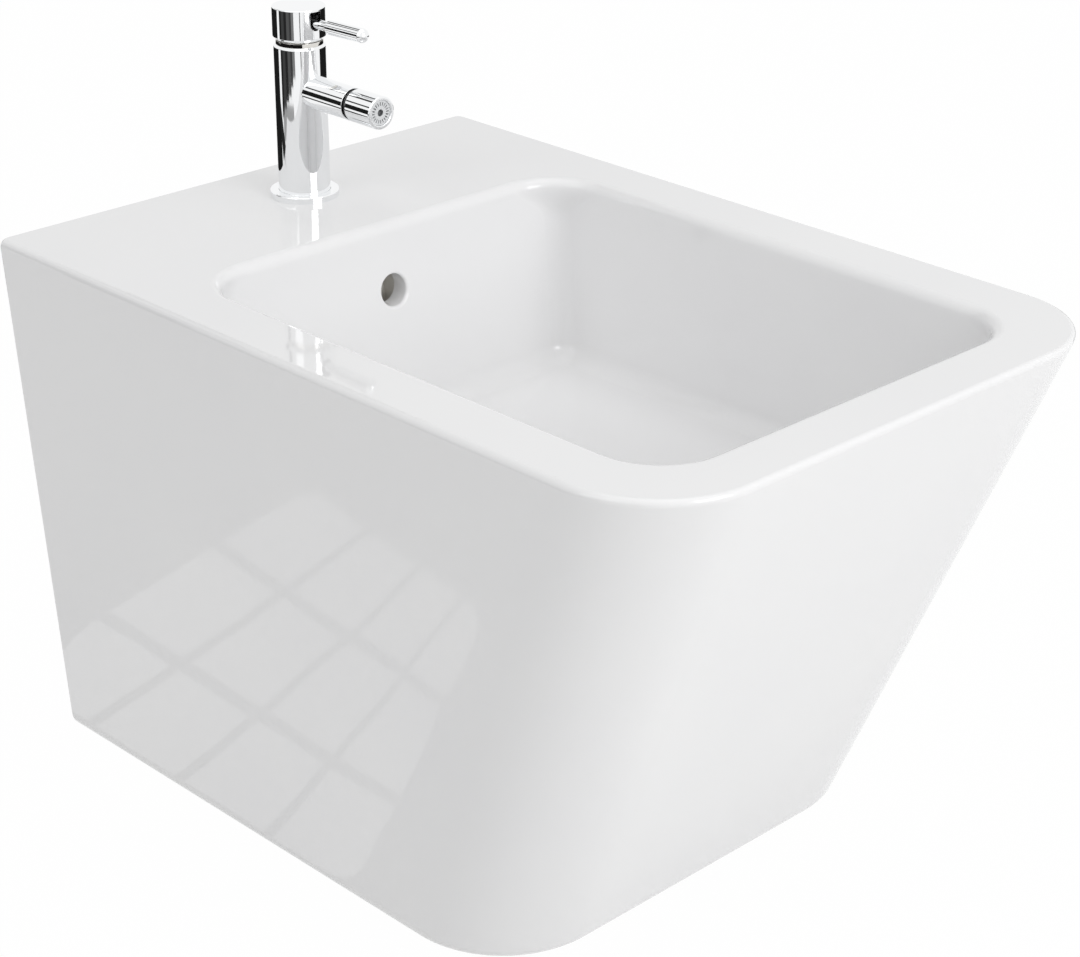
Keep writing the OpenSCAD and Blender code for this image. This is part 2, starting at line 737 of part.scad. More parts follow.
// Domed cap on its stem, closed
module waste_cap() {
    cap_r = cap_d / 2;
    skirt_z = -3.6;
    skirt_w = 4;
    bevel_h = 1;
    bevel_w = 1.4;
    plate_z = -0.5;
    stem_r = cap_stem_d / 2;
    hub_t = 3;
    hub_r = stem_r + hub_t;
    stem_z = -click_top - stem_guide_l - cap_travel;
    dome_h = 3;
    edge_t = 1.3;
    rest_z = flange_lip - moving_gap;
    dome_r = (cap_r * cap_r + dome_h * dome_h) / (2 * dome_h);
    dome_z = rest_z + edge_t + dome_h - dome_r;
    dome = [
        for (i = [0:dome_steps])
            let (x = cap_r * i / dome_steps)
                [x, dome_z + sqrt(dome_r * dome_r - x * x)]
    ];
    color("silver") at_waste() difference() {
        rotate_extrude() polygon(concat(dome, [
            [cap_r, rest_z], [cap_skirt_r, rest_z],
            [cap_skirt_r, skirt_z + bevel_h], [cap_skirt_r - bevel_w, skirt_z],
            [cap_skirt_r - skirt_w, skirt_z], [cap_skirt_r - skirt_w, plate_z],
            [hub_r, plate_z], [hub_r, skirt_z], [stem_r, skirt_z], [stem_r, stem_z], [0, stem_z]
        ]));
        cap_seal_ring();
    }
}

module cap_seal_ring() {
    rotate_extrude() translate([cap_skirt_r, -cap_seal_depth]) circle(d = cap_seal_t);
}

module waste_cap_seal() {
    color("dimgray") at_waste() cap_seal_ring();
}

// Brass casting with the cartridge seat, the water passages and the spout socket
module tap_body() {
    r = tap_d / 2;
    color("silver") difference() {
        on_tap() rotate_extrude() polygon([
            [0, ledge_top], [r, ledge_top], [r, tap_h - tap_bevel], [r - tap_bevel, tap_h], [0, tap_h]
        ]);
        on_tap() {
            translate([0, 0, seat_h]) cylinder(d = body_bore_d, h = tap_h);
            translate([0, 0, nut_h]) cylinder(d = nut_thread_d + 2 * seat_fit, h = tap_h);
            for (side = [-1, 1]) translate([side * inlet_x, inlet_y, 0]) {
                cylinder(d = inlet_d, h = ledge_top + inlet_l);
                cylinder(d = passage_d, h = seat_h + cut);
            }
            translate([0, -outlet_y, spout_h]) cylinder(d = passage_d, h = seat_h - spout_h + cut);
            translate([0, -stud_y, 0]) cylinder(d = stud_d, h = ledge_top + stud_seat_l);
        }
        on_spout() {
            translate([0, 0, outlet_y - passage_d / 2]) cylinder(d = passage_d, h = spigot_start);
            translate([0, 0, spigot_start]) cylinder(d = spigot_d, h = r);
        }
    }
}

// Ring on the deck whose inner ledge carries the tap body
module tap_base_ring() {
    r = base_ring_d / 2;
    seat_r = tap_d / 2 + seat_fit;
    groove_r = (tap_hole_d / 2 + r - base_seal_w) / 2;
    color("silver") on_tap() rotate_extrude() polygon([
        [base_ledge_d / 2, 0], [groove_r, 0], [groove_r, base_seal_h],
        [groove_r + base_seal_w, base_seal_h], [groove_r + base_seal_w, 0],
        [r, 0], [r, base_ring_h - fine_bevel], [r - fine_bevel, base_ring_h], [seat_r, base_ring_h],
        [seat_r, base_ledge_t], [base_ledge_d / 2, base_ledge_t]
    ]);
}

module tap_base_seal() {
    groove_d = tap_hole_d / 2 + base_ring_d / 2 - base_seal_w;
    color("dimgray") on_tap() tube(groove_d + 2 * base_seal_w, groove_d, base_seal_h);
}

// Spout tube with its saddle against the tap body, its spigot and the round seat at its end
module tap_spout() {
    color("silver") {
        difference() {
            on_spout() cylinder(d = spout_d, h = spout_l);
            on_tap() cylinder(d = tap_d, h = tap_h);
            on_spout() {
                cylinder(d = spigot_bore_d, h = spout_l);
                translate([0, 0, socket_start])
                    cylinder(d = nipple_thread_d, h = nipple_front - socket_start);
                translate([0, 0, swivel_c]) sphere(r = swivel_seat_r);
            }
        }
        on_spout() translate([0, 0, spigot_start]) tube(spigot_d, spigot_bore_d, socket_start - spigot_start);
    }
}

// Hollow screw whose round head holds the swivel ball
module spout_nipple() {
    head_flat = 2;
    color("darkgoldenrod") on_spout() difference() {
        union() {
            translate([0, 0, nipple_front - nipple_thread_l])
                cylinder(d = nipple_thread_d, h = nipple_thread_l);
            translate([0, 0, nipple_front]) cylinder(d = nipple_neck_d, h = swivel_c - nipple_front);
            translate([0, 0, swivel_c]) sphere(d = nipple_head_d);
        }
        cylinder(d = nipple_bore_d, h = aerator_end);
        translate([0, 0, swivel_c + nipple_head_d / 2 - head_flat])
            cylinder(d = nipple_head_d, h = nipple_head_d);
    }
}

// Thin round band between the spout's seat and the swivel ball
module swivel_seal_ring() {
    inner_r = swivel_ball_r + running_fit;
    reach = swivel_ball_d;
    color("dimgray") on_spout() translate([0, 0, swivel_c]) rotate_extrude() intersection() {
        difference() {
            circle(r = inner_r + swivel_seal_t);
            circle(r = inner_r);
        }
        polygon([
            [0, 0], [reach * cos(seal_from), -reach * sin(seal_from)],
            [reach * cos(seal_to), -reach * sin(seal_to)]
        ]);
    }
}

// Black ball that shows as a band between the spout and the aerator housing
module swivel_ball() {
    head_r = nipple_head_d / 2 + running_fit;
    throat_r = head_r - 1;
    throat_flare = 2.4;
    throat_depth = 2.5;
    color("#202020") on_spout() translate([0, 0, swivel_c]) difference() {
        union() {
            intersection() {
                sphere(r = swivel_ball_r);
                translate([0, 0, -swivel_ball_r]) cylinder(r = swivel_ball_r, h = swivel_ball_r);
            }
            cylinder(d = ball_neck_d - 2 * seat_fit, h = ball_neck_l);
        }
        sphere(r = head_r);
        cylinder(r = head_r, h = ball_neck_l + cut);
        translate([0, 0, -swivel_ball_r])
            cylinder(r1 = throat_r + throat_flare, r2 = throat_r, h = swivel_ball_r - throat_depth);
    }
}

module aerator_housing() {
    r = spout_d / 2;
    neck_r = ball_neck_d / 2;
    lip_r = housing_lip_d / 2;
    color("silver") on_spout() rotate_extrude() polygon([
        [neck_r, swivel_c], [r - fine_bevel, swivel_c], [r, swivel_c + fine_bevel],
        [r, aerator_end - fine_bevel], [r - fine_bevel, aerator_end],
        [lip_r + fine_bevel, aerator_end], [lip_r, aerator_end - fine_bevel],
        [lip_r, lip_start], [neck_r, lip_start]
    ]);
}

module aerator_seal() {
    color("dimgray") on_spout() translate([0, 0, washer_start])
        tube(ball_neck_d - 2 * seat_fit, aerator_seal_bore_d, aerator_seal_t);
}

// Jet former with a ring of radial slots in its face
module aerator_insert() {
    face = aerator_end - face_recess;
    centre_r = 1.8;
    centre_depth = 0.6;
    color("lightgray") on_spout() difference() {
        union() {
            translate([0, 0, insert_start])
                cylinder(d = ball_neck_d - 2 * seat_fit, h = lip_start - insert_start);
            translate([0, 0, lip_start]) cylinder(d = housing_lip_d - 2 * seat_fit, h = face - lip_start);
        }
        translate([0, 0, insert_start - cut]) cylinder(d = aerator_seal_bore_d, h = lip_start - insert_start);
        translate([0, 0, face - centre_depth]) cylinder(r = centre_r, h = cut);
        for (i = [0:slot_count - 1])
            rotate(360 * i / slot_count) translate([slot_inner_r, -slot_w / 2, face - slot_depth])
                cube([slot_outer_r - slot_inner_r, slot_w, slot_depth + cut]);
    }
}

// Places its children on the two inlet ports and on the outlet port
module at_ports() {
    for (side = [-1, 1]) translate([side * inlet_x, inlet_y, 0]) children();
    translate([0, -outlet_y, 0]) children();
}

module cartridge_housing() {
    inner_d = cartridge_d - 2 * cartridge_wall;
    color("ivory") on_tap() difference() {
        translate([0, 0, seat_h]) cylinder(d = cartridge_d, h = nut_h - seat_h);
        translate([0, 0, lower_disc_h]) cylinder(d = inner_d, h = housing_lip_h - lower_disc_h);
        translate([0, 0, lower_disc_h]) cylinder(d = carrier_neck_d + 2 * running_fit, h = nut_h);
        translate([0, 0, seat_h - cut]) at_ports() {
            cylinder(d = passage_d, h = cartridge_base_t + 2 * cut);
            tube(port_seal_d + port_seal_t, port_seal_d - port_seal_t, cut + port_seal_t);
        }
    }
}

module cartridge_port_seals() {
    color("dimgray") on_tap() translate([0, 0, seat_h + port_seal_t / 2]) at_ports()
        rotate_extrude() translate([port_seal_d / 2, 0]) circle(d = port_seal_t);
}

module cartridge_lower_disc() {
    color("white") on_tap() translate([0, 0, lower_disc_h]) difference() {
        cylinder(d = cartridge_d - 2 * cartridge_wall - 2 * seat_fit, h = lower_disc_t);
        translate([0, 0, -cut]) at_ports() cylinder(d = passage_d, h = lower_disc_t + 2 * cut);
    }
}

module cartridge_upper_disc() {
    pocket_w = finger_d + 2 * pocket_fit;
    color("white") on_tap() difference() {
        translate([0, upper_disc_shift, upper_disc_h]) cylinder(d = upper_disc_d, h = upper_disc_t);
        translate([-pocket_w / 2, -pocket_w / 2, pocket_floor_h])
            cube([pocket_w, pocket_w, pocket_depth + cut]);
    }
}

// Turns with the handle and carries the spindle's pivot
module cartridge_carrier() {
    color("ivory") on_tap() difference() {
        union() {
            translate([0, 0, carrier_h]) cylinder(d = carrier_flange_d, h = carrier_flange_h);
            translate([0, 0, carrier_h]) cylinder(d = carrier_neck_d, h = carrier_top_h - carrier_h);
        }
        translate([-carrier_slot_w / 2, -carrier_slot_l / 2, carrier_h - cut])
            cube([carrier_slot_w, carrier_slot_l, carrier_top_h - carrier_h + 2 * cut]);
        translate([-carrier_neck_d / 2, 0, pivot_h])
            rotate([0, 90, 0]) cylinder(d = pivot_d, h = carrier_neck_d);
    }
}

module cartridge_pivot_pin() {
    end_sink = 0.5;
    l = carrier_neck_d - 2 * end_sink;
    color("silver") on_tap() translate([-l / 2, 0, pivot_h]) rotate([0, 90, 0]) cylinder(d = pivot_d, h = l);
}

// Finger in the upper disc, pivot hole, and the head that holds the lever
module cartridge_spindle() {
    color("darkgoldenrod") difference() {
        on_tap() {
            translate([0, 0, finger_h]) sphere(d = finger_d);
            translate([0, 0, finger_h]) cylinder(d = finger_neck_d, h = shaft_foot_h - finger_h);
            translate([0, 0, shaft_foot_h]) cylinder(d = spindle_d, h = spindle_head_z - shaft_foot_h);
            translate([0, 0, spindle_head_z]) cylinder(d = spindle_head_d, h = spindle_head_h);
        }
        on_tap() {
            translate([-spindle_d, 0, pivot_h]) rotate([0, 90, 0])
                cylinder(d = pivot_d + 2 * running_fit, h = 2 * spindle_d);
            translate([0, 0, lever_h]) cylinder(d = set_screw_d, h = spindle_head_d);
        }
        on_lever() cylinder(d = rod_d, h = spindle_head_d);
    }
}

// Ring nut that holds the cartridge down; its collar is the dark neck under the handle
module cartridge_nut() {
    color("darkgoldenrod") on_tap() difference() {
        union() {
            translate([0, 0, nut_h]) cylinder(d = nut_thread_d, h = tap_h - nut_h);
            translate([0, 0, tap_h]) cylinder(d = nut_collar_d, h = nut_collar_h);
        }
        translate([0, 0, nut_h - cut]) cylinder(d = carrier_neck_d + 2 * moving_gap, h = tap_h);
    }
}

module handle_cap() {
    r = handle_d / 2;
    inner_r = r - handle_wall;
    slot_top = handle_top_h - handle_top_t;
    color("silver") difference() {
        on_tap() rotate_extrude() polygon([
            [carrier_neck_d / 2 + seat_fit, handle_h], [r - handle_chamfer_w, handle_h],
            [r, handle_h + handle_chamfer_h], [r, handle_top_h - fine_bevel], [r - fine_bevel, handle_top_h],
            [0, handle_top_h], [0, slot_top], [inner_r, slot_top], [inner_r, carrier_top_h],
            [carrier_neck_d / 2 + seat_fit, carrier_top_h]
        ]);
        on_tap() {
            translate([0, 0, lever_h]) rotate([90, 0, 0]) cylinder(d = lever_slot_w, h = r + cut);
            translate([-lever_slot_w / 2, -r - cut, lever_h])
                cube([lever_slot_w, r + cut, slot_top - lever_h]);
            translate([0, 0, cap_screw_h]) rotate([-90, 0, 0]) cylinder(d = cap_screw_d, h = r + cut);
        }
    }
}

// Grub screw at the back that ties the cap to the carrier
module cap_screw() {
    start = carrier_neck_d / 2 + seat_fit;
    sink = 1.5;
    color("dimgray") on_tap() translate([0, start, cap_screw_h])
        rotate([-90, 0, 0]) cylinder(d = cap_screw_d, h = handle_d / 2 - sink - start);
}

module lever_rod() {
    start = 1;
    color("silver") on_lever() translate([0, 0, start])
        cylinder(d = rod_d, h = grip_start + grip_seat_l - start);
}

// Turned grip with a domed end, screwed on the rod
module lever_grip() {
    r = grip_d / 2;
    straight = grip_end - grip_dome_l;
    dome = [
        for (i = [0:dome_steps])
            let (a = 90 * i / dome_steps)
                [r * cos(a), straight + grip_dome_l * sin(a)]
    ];
    rod_r = rod_d / 2;
    color("silver") on_lever() rotate_extrude() polygon(concat(
        [[rod_r, grip_start], [r - fine_bevel, grip_start], [r, grip_start + fine_bevel]],
        dome,
        [[0, grip_start + grip_seat_l], [rod_r, grip_start + grip_seat_l]]
    ));
}

module lever_set_screw() {
    start = lever_h + rod_d / 2 + moving_gap;
    sink = 0.4;
    color("dimgray") on_tap() translate([0, 0, start])
        cylinder(d = set_screw_d, h = spindle_head_z + spindle_head_h - sink - start);
}

module tap_stud() {
    end_gap = 1;
    color("gray") on_tap() translate([0, -stud_y, ledge_top + stud_seat_l - end_gap - stud_l])
        cylinder(d = stud_d, h = stud_l);
}

// Horseshoe outline round the stud, open at the back for the hoses
module clamp_outline() {
    half = clamp_notch_w / 2;
    foot = stud_d - stud_y;
    difference() {
        circle(d = clamp_d);
        translate([-half, foot + clamp_notch_r]) square([clamp_notch_w, clamp_d]);
        translate([clamp_notch_r - half, foot]) square([clamp_notch_w - 2 * clamp_notch_r, clamp_d]);
        for (side = [-1, 1])
            translate([side * (half - clamp_notch_r), foot + clamp_notch_r]) circle(r = clamp_notch_r);
        translate([0, -stud_y]) circle(d = stud_d + 2 * moving_gap);
    }
}

module clamp_rubber() {
    color("dimgray") on_tap() translate([0, 0, -deck_t - clamp_rubber_t])
        linear_extrude(clamp_rubber_t) clamp_outline();
}

module clamp_plate() {
    color("gray") on_tap() translate([0, 0, -deck_t - clamp_rubber_t - clamp_metal_t])
        linear_extrude(clamp_metal_t) clamp_outline();
}

module stud_nut() {
    color("darkgoldenrod") on_tap()
        translate([0, -stud_y, -deck_t - clamp_rubber_t - clamp_metal_t - stud_nut_h]) difference() {
            hexagon(stud_nut_af, stud_nut_h);
            translate([0, 0, -cut]) cylinder(d = stud_d + 2 * seat_fit, h = stud_nut_h + 2 * cut);
        }
}

ceramic_body();
fixing_sleeves();
waste_body();
waste_upper_seal();
waste_lower_seal();
waste_back_nut();
click_mechanism();
waste_cap();
waste_cap_seal();
tap_body();
tap_base_ring();
tap_base_seal();
tap_spout();
spout_nipple();
swivel_seal_ring();
swivel_ball();
aerator_housing();
aerator_seal();
aerator_insert();
cartridge_housing();
cartridge_port_seals();
cartridge_lower_disc();
cartridge_upper_disc();
cartridge_carrier();
cartridge_pivot_pin();
cartridge_spindle();
cartridge_nut();
handle_cap();
cap_screw();
lever_rod();
lever_grip();
lever_set_screw();
tap_stud();
clamp_rubber();
clamp_plate();
stud_nut();
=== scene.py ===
import math

import bmesh
import bpy
import numpy as np
from mathutils import Matrix, Vector


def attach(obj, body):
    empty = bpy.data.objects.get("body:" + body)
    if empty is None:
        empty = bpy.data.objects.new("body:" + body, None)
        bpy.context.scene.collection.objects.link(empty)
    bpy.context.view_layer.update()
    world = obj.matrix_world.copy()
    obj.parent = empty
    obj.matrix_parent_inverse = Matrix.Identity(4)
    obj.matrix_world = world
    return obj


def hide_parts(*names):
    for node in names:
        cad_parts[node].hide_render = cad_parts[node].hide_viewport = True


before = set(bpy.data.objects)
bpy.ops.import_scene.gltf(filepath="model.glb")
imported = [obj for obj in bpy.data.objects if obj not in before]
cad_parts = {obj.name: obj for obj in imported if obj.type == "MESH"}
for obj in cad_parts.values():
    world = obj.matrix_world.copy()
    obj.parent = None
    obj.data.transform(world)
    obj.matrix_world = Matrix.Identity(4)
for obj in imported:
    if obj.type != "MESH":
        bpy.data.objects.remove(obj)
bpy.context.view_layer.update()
scene = bpy.context.scene
scene.view_settings.view_transform = "Standard"

# Camera
# It stands at the front left, looks down at 25 degrees, and has a long lens. Its place, turns and lens were fitted to
# the outline of the object. The place is in millimetres, as the object's sizes are until its meshes are made.
MM = 0.001
camera_at = (-963.0, -1255.8, 598.5)
azimuth, elevation, roll = (math.radians(a) for a in (-45.22, 24.66, 0.63))
backward = np.array([math.sin(azimuth) * math.cos(elevation),
                     -math.cos(azimuth) * math.cos(elevation), math.sin(elevation)])
level = np.array([math.cos(azimuth), math.sin(azimuth), 0.0])
upward = np.cross(backward, level)
rightward = math.cos(roll) * level + math.sin(roll) * upward
turned_up = math.cos(roll) * upward - math.sin(roll) * level


def in_scene(name, data):
    """Puts a mesh, lamp or camera into the scene as an object."""
    made = bpy.data.objects.new(name, data)
    scene.collection.objects.link(made)
    return made


camera = in_scene("camera", bpy.data.cameras.new("camera"))
camera.data.sensor_width = 36.0
camera.data.lens = 86.42
camera.data.shift_x, camera.data.shift_y = -0.0377, -0.0051
camera.data.clip_start, camera.data.clip_end = 0.05, 50.0
placed = np.eye(4)
placed[:3, :3] = np.column_stack([rightward, turned_up, backward])
placed[:3, 3] = np.array(camera_at) * MM
camera.matrix_world = Matrix(placed.tolist())
scene.camera = camera

# Ceramic body
# The real piece is one hollow casting of vitreous china, 12 mm thick, poured as slip in a plaster mould, glazed white
# and fired at about 1200 degrees. It hangs on two studs, and its underside and back are open for the pipes.
RIM, BASE, DECK_UNDER = 85.0, -252.0, 71.0
WIDE_TOP, WIDE_BASE = 370.0, 323.0
LONG_TOP, LONG_BASE = 535.0, 401.0
BACK_CORNER, FRONT_CORNER_TOP, FRONT_CORNER_BASE = 3.0, 64.5, 67.0
TOP_EDGE, FOOT_EDGE = 4.5, 9.0
WALL, BACK_WALL, BOWL_WALL = 12.0, 14.0, 12.0
BOWL_WIDTH, BOWL_BACK, FRONT_RIM = 286.0, -133.0, 39.5
SIDES_LEAN, BACK_LEAN, FRONT_LEAN = 22.0, 21.0, 39.0
BOWL_CORNER_TOP, BOWL_CORNER_LOW, CORNER_DEPTH = 37.0, 13.0, 26.0
FLOOR_DEPTH, SHELL_DEPTH, FLOOR_EDGE, RIM_EDGE = 117.0, 131.0, 11.0, 6.0
CHANNEL_TOP, CHANNEL_FLOOR, CHANNEL_DEEP = 28.25, 129.0, 12.0
OVERFLOW_Z, OVERFLOW_RADIUS, OVERFLOW_EDGE = 44.0, 9.75, 2.0
WASTE_Y, WASTE_Z = -215.0, -34.0
TAP_Y, TAP_HOLE_RADIUS = -57.5, 17.5
FIXINGS_X = (-90.0, 90.0)
CORNER_STEPS, SIDE_STEPS = 20, 12


def quarter(steps):
    """Angles of a quarter circle in even steps."""
    return np.linspace(0, math.pi / 2, steps + 1)


def full_turn(steps):
    """Angles of a full circle in even steps, each place once."""
    return np.linspace(0, 2 * math.pi, steps + 1)[:-1]


def lifted(flat, z):
    """Rings of (x, y) points with a height z for each ring."""
    return np.concatenate([flat, np.broadcast_to(np.asarray(z)[:, None, None], flat.shape[:2] + (1,))], -1)


def outlines(width, back, front, back_r, front_r, z):
    """Rounded rectangles seen from above, anticlockwise, one for each height z. A corner is its centre plus its radius
    times (cos, sin) of a quarter turn, and the straight sides between two corners are cut evenly."""
    width, back, front, back_r, front_r, z = np.broadcast_arrays(width, back, front, back_r, front_r, z)
    half = width / 2
    centre_x = np.stack([half - back_r, back_r - half, front_r - half, half - front_r], -1)
    centre_y = np.stack([back - back_r, back - back_r, front + front_r, front + front_r], -1)
    radius = np.stack([back_r, back_r, front_r, front_r], -1)[..., None]
    turn = quarter(CORNER_STEPS) + np.arange(4)[:, None] * math.pi / 2
    arcs = np.stack([centre_x[..., None] + radius * np.cos(turn), centre_y[..., None] + radius * np.sin(turn)], -1)
    start, end = arcs[..., -1, :], np.roll(arcs[..., 0, :], -1, axis=-2)
    share = (np.arange(1, SIDE_STEPS) / SIDE_STEPS)[:, None]
    sides = start[..., None, :] + (end - start)[..., None, :] * share
    return lifted(np.concatenate([arcs, sides], axis=-2).reshape(len(z), -1, 2), z)


def wall_rings(z, inset, back):
    """The outer wall's outline at height z, moved in by the inset: width, projection and corners change evenly from the
    base to the rim."""
    share = (z - BASE) / (RIM - BASE)
    front_corner = FRONT_CORNER_BASE - (FRONT_CORNER_BASE - FRONT_CORNER_TOP) * share - inset
    return outlines(WIDE_BASE + (WIDE_TOP - WIDE_BASE) * share - 2 * inset, back,
                    inset - LONG_BASE - (LONG_TOP - LONG_BASE) * share, BACK_CORNER, front_corner, z)


def bowl_rings(depth, grow):
    """The bowl's outline at a depth below the rim, moved out by grow: each wall leans in evenly on its way to the
    floor, and near the rim the corners tighten along half a cosine wave."""
    share = depth / FLOOR_DEPTH
    corner = BOWL_CORNER_LOW + (BOWL_CORNER_TOP - BOWL_CORNER_LOW) / 2 * (
        1 + np.cos(math.pi * np.minimum(depth / CORNER_DEPTH, 1.0))) + grow
    return outlines(BOWL_WIDTH - SIDES_LEAN * share + 2 * grow, grow + BOWL_BACK - BACK_LEAN * share,
                    FRONT_RIM - LONG_TOP + FRONT_LEAN * share - grow, corner, corner, RIM - depth)


def blend_rings(first, last, steps, rise):
    """Rings between two rings: the place goes evenly from one to the other, and the height follows rise(share)."""
    share = np.linspace(0, 1, steps + 1)[1:-1]
    flat = first[None, :, :2] + (last - first)[None, :, :2] * share[:, None, None]
    height = first[:, 2] + (last - first)[:, 2] * rise(share)[:, None]
    return np.concatenate([flat, height[..., None]], -1)


def ring_mesh(name, rings, closed=False):
    """Quads between neighbouring rings of points in mm, each ring closing on itself. closed joins the last ring to
    the first. Otherwise each end ring becomes one flat face, or a pole where it has no size."""
    rows, columns = rings.shape[:2]
    grid = np.arange(rows * columns).reshape(rows, columns)
    if closed:
        grid = np.vstack([grid, grid[:1]])
    ahead = np.roll(grid, -1, axis=1)
    quads = np.stack([grid[:-1], ahead[:-1], ahead[1:], grid[1:]], -1).reshape(-1, 4)
    ends = [] if closed else [grid[0][::-1].tolist(), grid[-1].tolist()]
    mesh = bpy.data.meshes.new(name)
    mesh.from_pydata((rings.reshape(-1, 3) * MM).tolist(), [], quads.tolist() + ends)
    shell = bmesh.new()
    shell.from_mesh(mesh)
    bmesh.ops.remove_doubles(shell, verts=shell.verts, dist=1e-6)
    bmesh.ops.recalc_face_normals(shell, faces=shell.faces)
    shell.to_mesh(mesh)
    shell.free()
    mesh.shade_smooth()
    return in_scene(name, mesh)


def circle_rings(radius, z, like):
    """Circles round the waste, at the polar angles of another ring's points."""
    away = like[:, :2] - (0.0, WASTE_Y)
    away = away / np.linalg.norm(away, axis=1, keepdims=True)
    return lifted((0.0, WASTE_Y) + np.asarray(radius)[:, None, None] * away, z)


def outer_rings():
    """Underside, rounded lower edge, sloping walls and rounded top edge, from the lowest ring to the highest."""
    low, top = quarter(8), quarter(6)
    return np.concatenate([
        wall_rings(BASE + FOOT_EDGE * (1 - np.cos(low)), FOOT_EDGE * (1 - np.sin(low)), 0.0),
        wall_rings(np.linspace(BASE + FOOT_EDGE, RIM - TOP_EDGE, 26)[1:-1], 0.0, 0.0),
        wall_rings(RIM - TOP_EDGE * (1 - np.sin(top)), TOP_EDGE * (1 - np.cos(top)), 0.0)])


def hollow_rings():
    """The bowl's inside from the waste up: a hole 45 mm wide, its seat cone, the gently dished floor, the floor's
    fillet, the leaning walls, the rounded rim, and a ring above it for a clean cut."""
    floor, lip = quarter(12), quarter(8)
    fillet = bowl_rings(FLOOR_DEPTH - FLOOR_EDGE * (1 - np.cos(floor)), -FLOOR_EDGE * (1 - np.sin(floor)))
    drain = circle_rings([22.5, 22.5, 33.6, 34.4, 36.0], [-80.0, -46.0, -34.6, -34.0, -34.0], fillet[0])
    dish = blend_rings(drain[-1], fillet[0], 16, lambda share: share * share * (3 - 2 * share))
    walls = bowl_rings(np.concatenate([np.linspace(FLOOR_DEPTH - FLOOR_EDGE, CORNER_DEPTH, 8)[1:],
                                       np.linspace(CORNER_DEPTH, RIM_EDGE, 14)[1:-1]]), 0.0)
    rim = bowl_rings(RIM_EDGE * (1 - np.sin(lip)), RIM_EDGE * (1 - np.cos(lip)))
    return np.concatenate([drain, dish, fillet, walls, rim, bowl_rings(np.array([-5.0]), RIM_EDGE)])


def shell_rings():
    """The bowl's outside from the boss round the waste, 84 mm wide with its edge rounded, up to the deck."""
    edge, round_r = quarter(10), FLOOR_EDGE + BOWL_WALL
    under = bowl_rings(SHELL_DEPTH - round_r * (1 - np.cos(edge)), BOWL_WALL - round_r * (1 - np.sin(edge)))
    boss = circle_rings([39.0, 41.1, 42.0, 42.0, 43.8, 48.0], [-72.0, -71.1, -69.0, -52.0, -47.8, -46.0], under[0])
    return np.concatenate([boss, blend_rings(boss[-1], under[0], 6, lambda share: share), under,
                           bowl_rings(np.concatenate([[60.0], np.linspace(CORNER_DEPTH, 7.0, 8)]), BOWL_WALL)])


def upright_rings(flat, y):
    """Rings parallel to the wall, one at each distance y, from (x, z) points: the same for all, or its own for each."""
    flat = np.broadcast_to(flat, (len(y),) + flat.shape[-2:])
    return np.stack([flat[..., 0], np.broadcast_to(y[:, None], flat.shape[:2]), flat[..., 1]], -1)


def flared_rings(outline, edge_r, faces, steps=6):
    """A cut through a wall that lies between two values of y, with both edges rounded: near a face the outline grows
    along a quarter circle of radius edge_r. outline(grow) gives its (x, z) points."""
    arc = quarter(steps)
    grow = edge_r * (1 - np.cos(arc[::-1]))
    away = edge_r * (1 - np.sin(arc[::-1]))
    y = np.concatenate([[faces[0] - 3.0], faces[0] + away, faces[1] - away[::-1], [faces[1] + 3.0]])
    size = np.concatenate([[edge_r], grow, grow[::-1], [edge_r]])
    return upright_rings(np.stack([outline(s) for s in size]), y)


def disc_outline(x, z, radius):
    """A circle, as a function of how far it grows: the centre plus the grown radius times (cos, sin) of a full turn."""
    turn = full_turn(64)
    return lambda grow: np.stack([x + (radius + grow) * np.cos(turn), z + (radius + grow) * np.sin(turn)], -1)


def pipe_outline(grow):
    """The pipe opening: 200 mm wide with 30 mm corners at the top and open at the underside."""
    turn = np.concatenate([quarter(12), quarter(12) + math.pi / 2])
    side = np.repeat([70.0, -70.0], 13)
    top = np.stack([side + (30.0 + grow) * np.cos(turn), -107.0 + (30.0 + grow) * np.sin(turn)], -1)
    foot = np.array([[-100.0 - grow, BASE - 12.0], [100.0 + grow, BASE - 12.0]])
    return np.concatenate([top, foot])


def bowl_back_y(z):
    """The bowl's back wall at height z."""
    return BOWL_BACK - BACK_LEAN * (RIM - z) / FLOOR_DEPTH


def overflow_rings():
    """The overflow hole with its rounded edge in the bowl: circles that follow the leaning back wall."""
    arc, turn, wide = quarter(8), full_turn(64), OVERFLOW_RADIUS + OVERFLOW_EDGE
    radius = np.concatenate([[wide], wide - OVERFLOW_EDGE * np.sin(arc), [OVERFLOW_RADIUS]])
    behind = np.concatenate([[-30.0], OVERFLOW_EDGE - OVERFLOW_EDGE * np.cos(arc), [18.0]])
    x, z = radius[:, None] * np.cos(turn), OVERFLOW_Z + radius[:, None] * np.sin(turn)
    return np.stack([x, bowl_back_y(z) + behind[:, None], z], -1)


def channel_rings(width, margin):
    """The overflow channel, down behind the bowl and forward under its floor: its side view carried across x. The
    margin moves the faces outwards, from the channel's bore to the outside of its walls."""
    top, floor_top = RIM - CHANNEL_TOP + margin, RIM - CHANNEL_FLOOR + margin
    floor_under = RIM - CHANNEL_FLOOR - CHANNEL_DEEP - margin
    near, far = BOWL_WALL - margin, BOWL_WALL + margin + CHANNEL_DEEP
    side = np.array([[bowl_back_y(top) + near, top], [bowl_back_y(floor_top) + near, floor_top],
                     [WASTE_Y, floor_top], [WASTE_Y, floor_under],
                     [bowl_back_y(floor_under) + far, floor_under], [bowl_back_y(top) + far, top]])
    return np.stack([np.insert(side, 0, x, axis=1) for x in (-width / 2, width / 2)])


